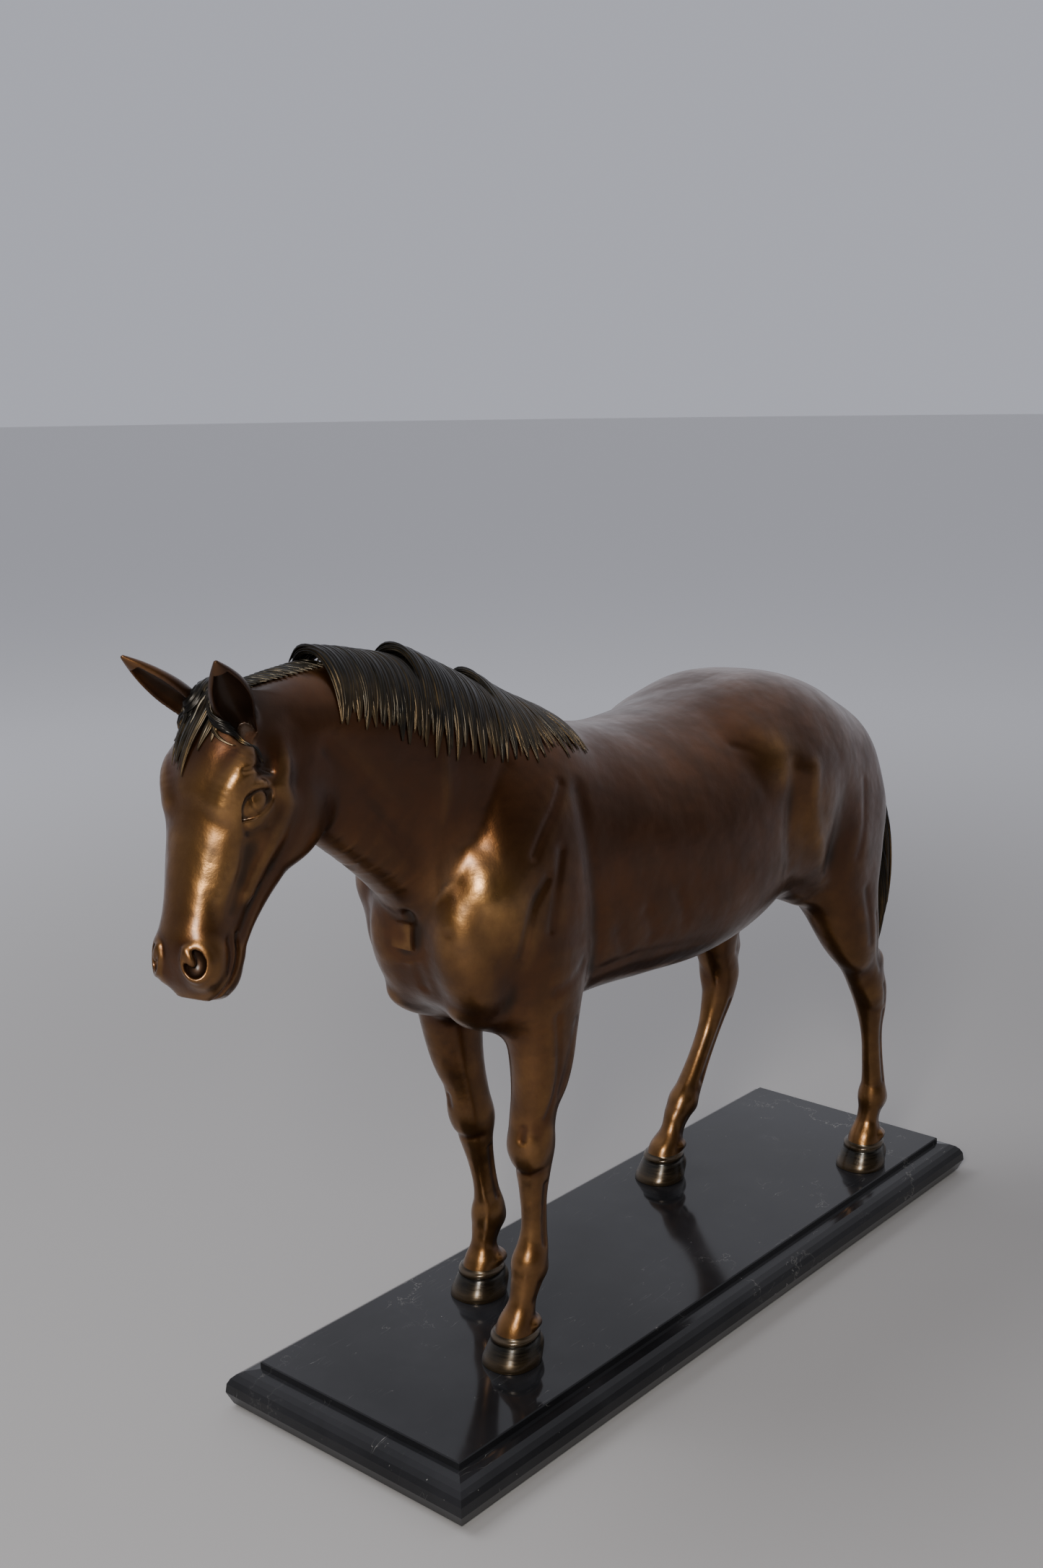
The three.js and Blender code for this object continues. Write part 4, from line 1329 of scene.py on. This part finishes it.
# Forelock, in the head's frame: from the poll down the forehead, with one lock past the left eye.
FORELOCK = [
    ([(-5, 2, -10), (0, 0, -2), (8, -3, 2), (22, -7, 3), (37, -10, 1)], 7.0),
    ([(-5, -2, -10), (0, -4, -3), (8, -8, 0), (20, -12, 0), (33, -15, -4)], 7.0),
    ([(-5, 3, -10), (0, 2, -2), (10, 1, 3), (24, -2, 4), (43, -5, 2)], 6.5),
    ([(-5, -5, -12), (0, -8, -5), (8, -12, -3), (18, -16, -4), (28, -19, -9)], 6.0),
    ([(-4, 4, -9), (2, 5, -1), (12, 8, 2), (20, 13, -3), (26, 18, -11), (30, 21.5, -20)], 6.4),
    ([(-4, 3, -9), (2, 5, -1), (11, 9, 2), (18, 13, -1), (24, 17.5, -8), (27, 20.5, -15)], 5.2),
    ([(-4, 1, -8), (0, -1, -1), (10, -3, 3), (20, -5, 4), (31, -9, 2)], 4.0),
    ([(-4, 3, -8), (2, 4, 0), (14, 6, 3), (22, 10, 0), (28, 15, -7)], 3.4),
    ([(-5, -3, -9), (0, -5, -3), (12, -10, 0), (26, -13, -2), (38, -13, -2)], 3.6),
    ([(-5, 2, -9), (-1, 1, -1), (12, -1, 4), (28, -5, 4), (40, -8, 2)], 3.2),
    ([(-5, 1, -9), (1, 3, 0), (9, 7, 2), (17, 9, 1), (26, 9, 1)], 6.5),
    ([(-5, 0, -9), (1, 2, 0), (10, 5, 2), (20, 5, 3), (31, 3, 2)], 6.0),
    ([(-5, -8, -13), (2, -12, -6), (10, -16, -7), (20, -19, -9), (30, -20, -12)], 6.5),
    ([(-6, -4, -12), (2, -7, -2), (12, -12, 1), (24, -15, -1), (36, -12, 0)], 6.5),
    ([(-4, 6, -14), (-4, 3, -6), (-2, 0, -3), (2, -4, -2)], 5.0),
    ([(-4, -6, -15), (-4, -4, -8), (-1, -1, -3), (4, 3, 0)], 4.6),
]
fringe = Hair()
for i, (local, width) in enumerate(FORELOCK):
    fringe.lock(
        [in_world(*point) for point in local], width, 0.42 * width + 0.8, max(4, round(width)),
        lift=(1.6 + 0.6 * (i % 3), 0.5), wave=1.0, bulge=1.6,
    )
fringe.build("forelock_hair", ["forelock"])

# Tail: locks around the line from the dock down behind the hocks.
TAIL = smooth_path([
    (194, 0, 344, 6), (214, -2, 332, 9.5), (230, -9, 309, 10.5), (239, -17, 282, 11),
    (243, -24, 254, 11.5), (243, -27, 228, 11), (242, -27, 204, 10.5), (240, -27, 180, 9),
    (238, -26, 160, 6.5), (237, -25, 146, 3.5),
], 6)

# Layers of the tail: locks, width, distance from the line as a share of its radius, strands.
TAIL_LAYERS = [(6, 9.5, 0.35, 8), (9, 7.0, 0.62, 8), (8, 3.4, 0.8, 4)]
tail_hair = Hair()
for layer, (count, width, reach, strands) in enumerate(TAIL_LAYERS):
    for i in range(count):
        angle = 2 * math.pi * (i + 0.5 * layer) / count
        last = len(TAIL) - 1 - int(rng.integers(0, 7 + 9 * layer))
        first = int(rng.integers(0, 8)) * (layer == 2)
        points = []
        for k in np.linspace(first, last, 8).astype(int):
            x, y, z, radius = TAIL[k]
            turn = angle + 0.55 * math.sin(k * 0.16 + 1.7 * layer + i)
            spread = reach * radius
            points.append((x + spread * math.cos(turn), y + 0.85 * spread * math.sin(turn), z))
        tail_hair.lock(points, width, 0.6 * width, strands, lift=(0, 0), wave=2.4)
tail_hair.build("tail_hair", ["tail"], core=TAIL)

# ---------------------------------------------------------------- hooves

# Middle of each hoof on the marble.
HOOF_GROUND = {
    "fore_left": (-162, -32), "fore_right": (-117, 33), "hind_left": (181, -54), "hind_right": (78, 42),
}
SOLE = 26.3              # height of the hooves' undersides
BAND = 41.4              # height of the coronet band
# Sections of a hoof: height, half length, half width.
HOOF_SECTIONS = [
    (SOLE - 2, 16.8, 15.6), (28, 17.0, 15.8), (34, 15.0, 14.2),
    (40, 12.9, 12.4), (43, 12.2, 11.8), (46, 11.6, 11.2),
]


def hoof_casting(name):
    """Flared hoof wall with a toe, heel bulbs and the coronet band at its top."""
    gx, gy = HOOF_GROUND[name]
    tx, ty = LEG_STATIONS[name][-1][:2]

    def at(z):
        share = (z - SOLE) / (CORONET_CUT - SOLE)
        return gx + (tx - gx) * share, gy + (ty - gy) * share

    rows = []
    for z, length, half in HOOF_SECTIONS:
        x, y = at(z)
        rows.append((z, y, x, half, length * 0.92, length))
    wall = Sweep(rows, along=(0, 0, 1), side=(0, 1, 0), up=(1, 0, 0), power=2.3)
    x, y = at(BAND)
    band = [
        (x + 12.7 * math.cos(a), y + 12.2 * math.sin(a), BAND + 0.9 * math.cos(a))
        for a in np.linspace(0, 2 * math.pi, 17)
    ]
    coronet = Cord(band, [1.25] * 17)
    groove = Crease([(bx, by, bz - 2.6) for bx, by, bz in band], 0.5, 1.0)
    heels = [
        Egg((at(34)[0] + 9.5, at(34)[1] + side * 6, 34), (8, 5.4, 6.5), along=(0.3, 0, 1))
        for side in (-1, 1)
    ]
    cleft = Crease([(at(40)[0] + 15, at(40)[1], 42), (at(30)[0] + 15, at(30)[1], 26)], 1.6, 1.8)

    def field(p, margin=0.6):
        p = np.ascontiguousarray(p, np.float32)
        d = np.full(len(p), FAR, np.float32)
        add(d, p, wall, 1, margin)
        for heel in heels:
            add(d, p, heel, 3, margin)
        add(d, p, coronet, 1.6, margin)
        carve(d, p, groove)
        carve(d, p, cleft)
        return d

    low = (min(gx, tx) - 20, gy - 19, SOLE - 3)
    high = (max(gx, tx) + 20, gy + 19, CORONET_CUT + 3)
    thing = casting(
        name + "_hoof_wall", low, high, 0.8 * COARSE,
        [((0, 0, CORONET_CUT - 0.15), UP), ((0, 0, SOLE), DOWN)], [name + "_hoof"], field,
    )
    thing.data.materials.append(HOOF)


for leg_name in LEG_STATIONS:
    hoof_casting(leg_name)

# ---------------------------------------------------------------- finish the pieces


def paint_wear_and_highlights(thing, places):
    """Gold on the patina, partly rubbed wear and partly painted highlight, and stained where the strength is
    negative: soft spots, (x, y, z, radius, strength) in millimetres."""
    mesh = thing.data
    co = np.empty(len(mesh.vertices) * 3, np.float32)
    mesh.vertices.foreach_get("co", co)
    co = co.reshape(-1, 3) / METRE
    total = np.zeros(len(co))
    for x, y, z, radius, strength in places:
        total += strength * np.exp(-(((co - (x, y, z)) ** 2).sum(1)) / radius**2)
    layer = mesh.attributes.new("gold", "FLOAT", "POINT")
    layer.data.foreach_set("value", total.astype(np.float32))


# Gold spots: rubbed wear, and painted highlights that brighten the front lamp's highlights on the shoulder
# point and the hip.
WEAR_AND_HIGHLIGHT_SPOTS = [
    (-190, -44, 296, 24, 0.8), (50, -58, 334, 14, 0.7), (80, -68, 290, 24, 0.35), (-150, -50, 215, 26, 0.15),
    (118, -50, 225, 22, 0.2),
]
for leg_name, rows in LEG_STATIONS.items():
    for x, y, z, *_ in rows[4::2]:
        WEAR_AND_HIGHLIGHT_SPOTS.append((x - 8, y, z, 16, 0.08))
# Head spots: painted highlights down the nose bridge, more gold about the eye, and dark patina stains around
# the poll and ears.
for s, l, h, radius, strength in [
    (70, 10, -4, 24, 0.36), (46, 12, 0, 16, 0.35), (88, 12, -6, 20, 0.27), (47, 24, -20, 12, 0.3),
    (4, 10, -8, 22, -0.7), (10, -14, -8, 22, -0.5), (-12, 24, 8, 16, -0.5), (-18, -22, 20, 16, -0.5),
]:
    WEAR_AND_HIGHLIGHT_SPOTS.append((*in_world(s, l, h), radius, strength))

for thing in (body, head, *legs.values()):
    paint_wear_and_highlights(thing, WEAR_AND_HIGHLIGHT_SPOTS)
    thing.data.materials.append(BRONZE)

for name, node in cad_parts.items():
    if name.endswith(("_stud", "_washer", "_nut")):
        material = STEEL
    elif name == "base_felt":
        material = FELT
    elif name == "marble_base":
        material = MARBLE
    elif name.endswith("_hoof"):
        material = HOOF
    else:
        material = HAIR
    node.data.materials.clear()
    node.data.materials.append(material)
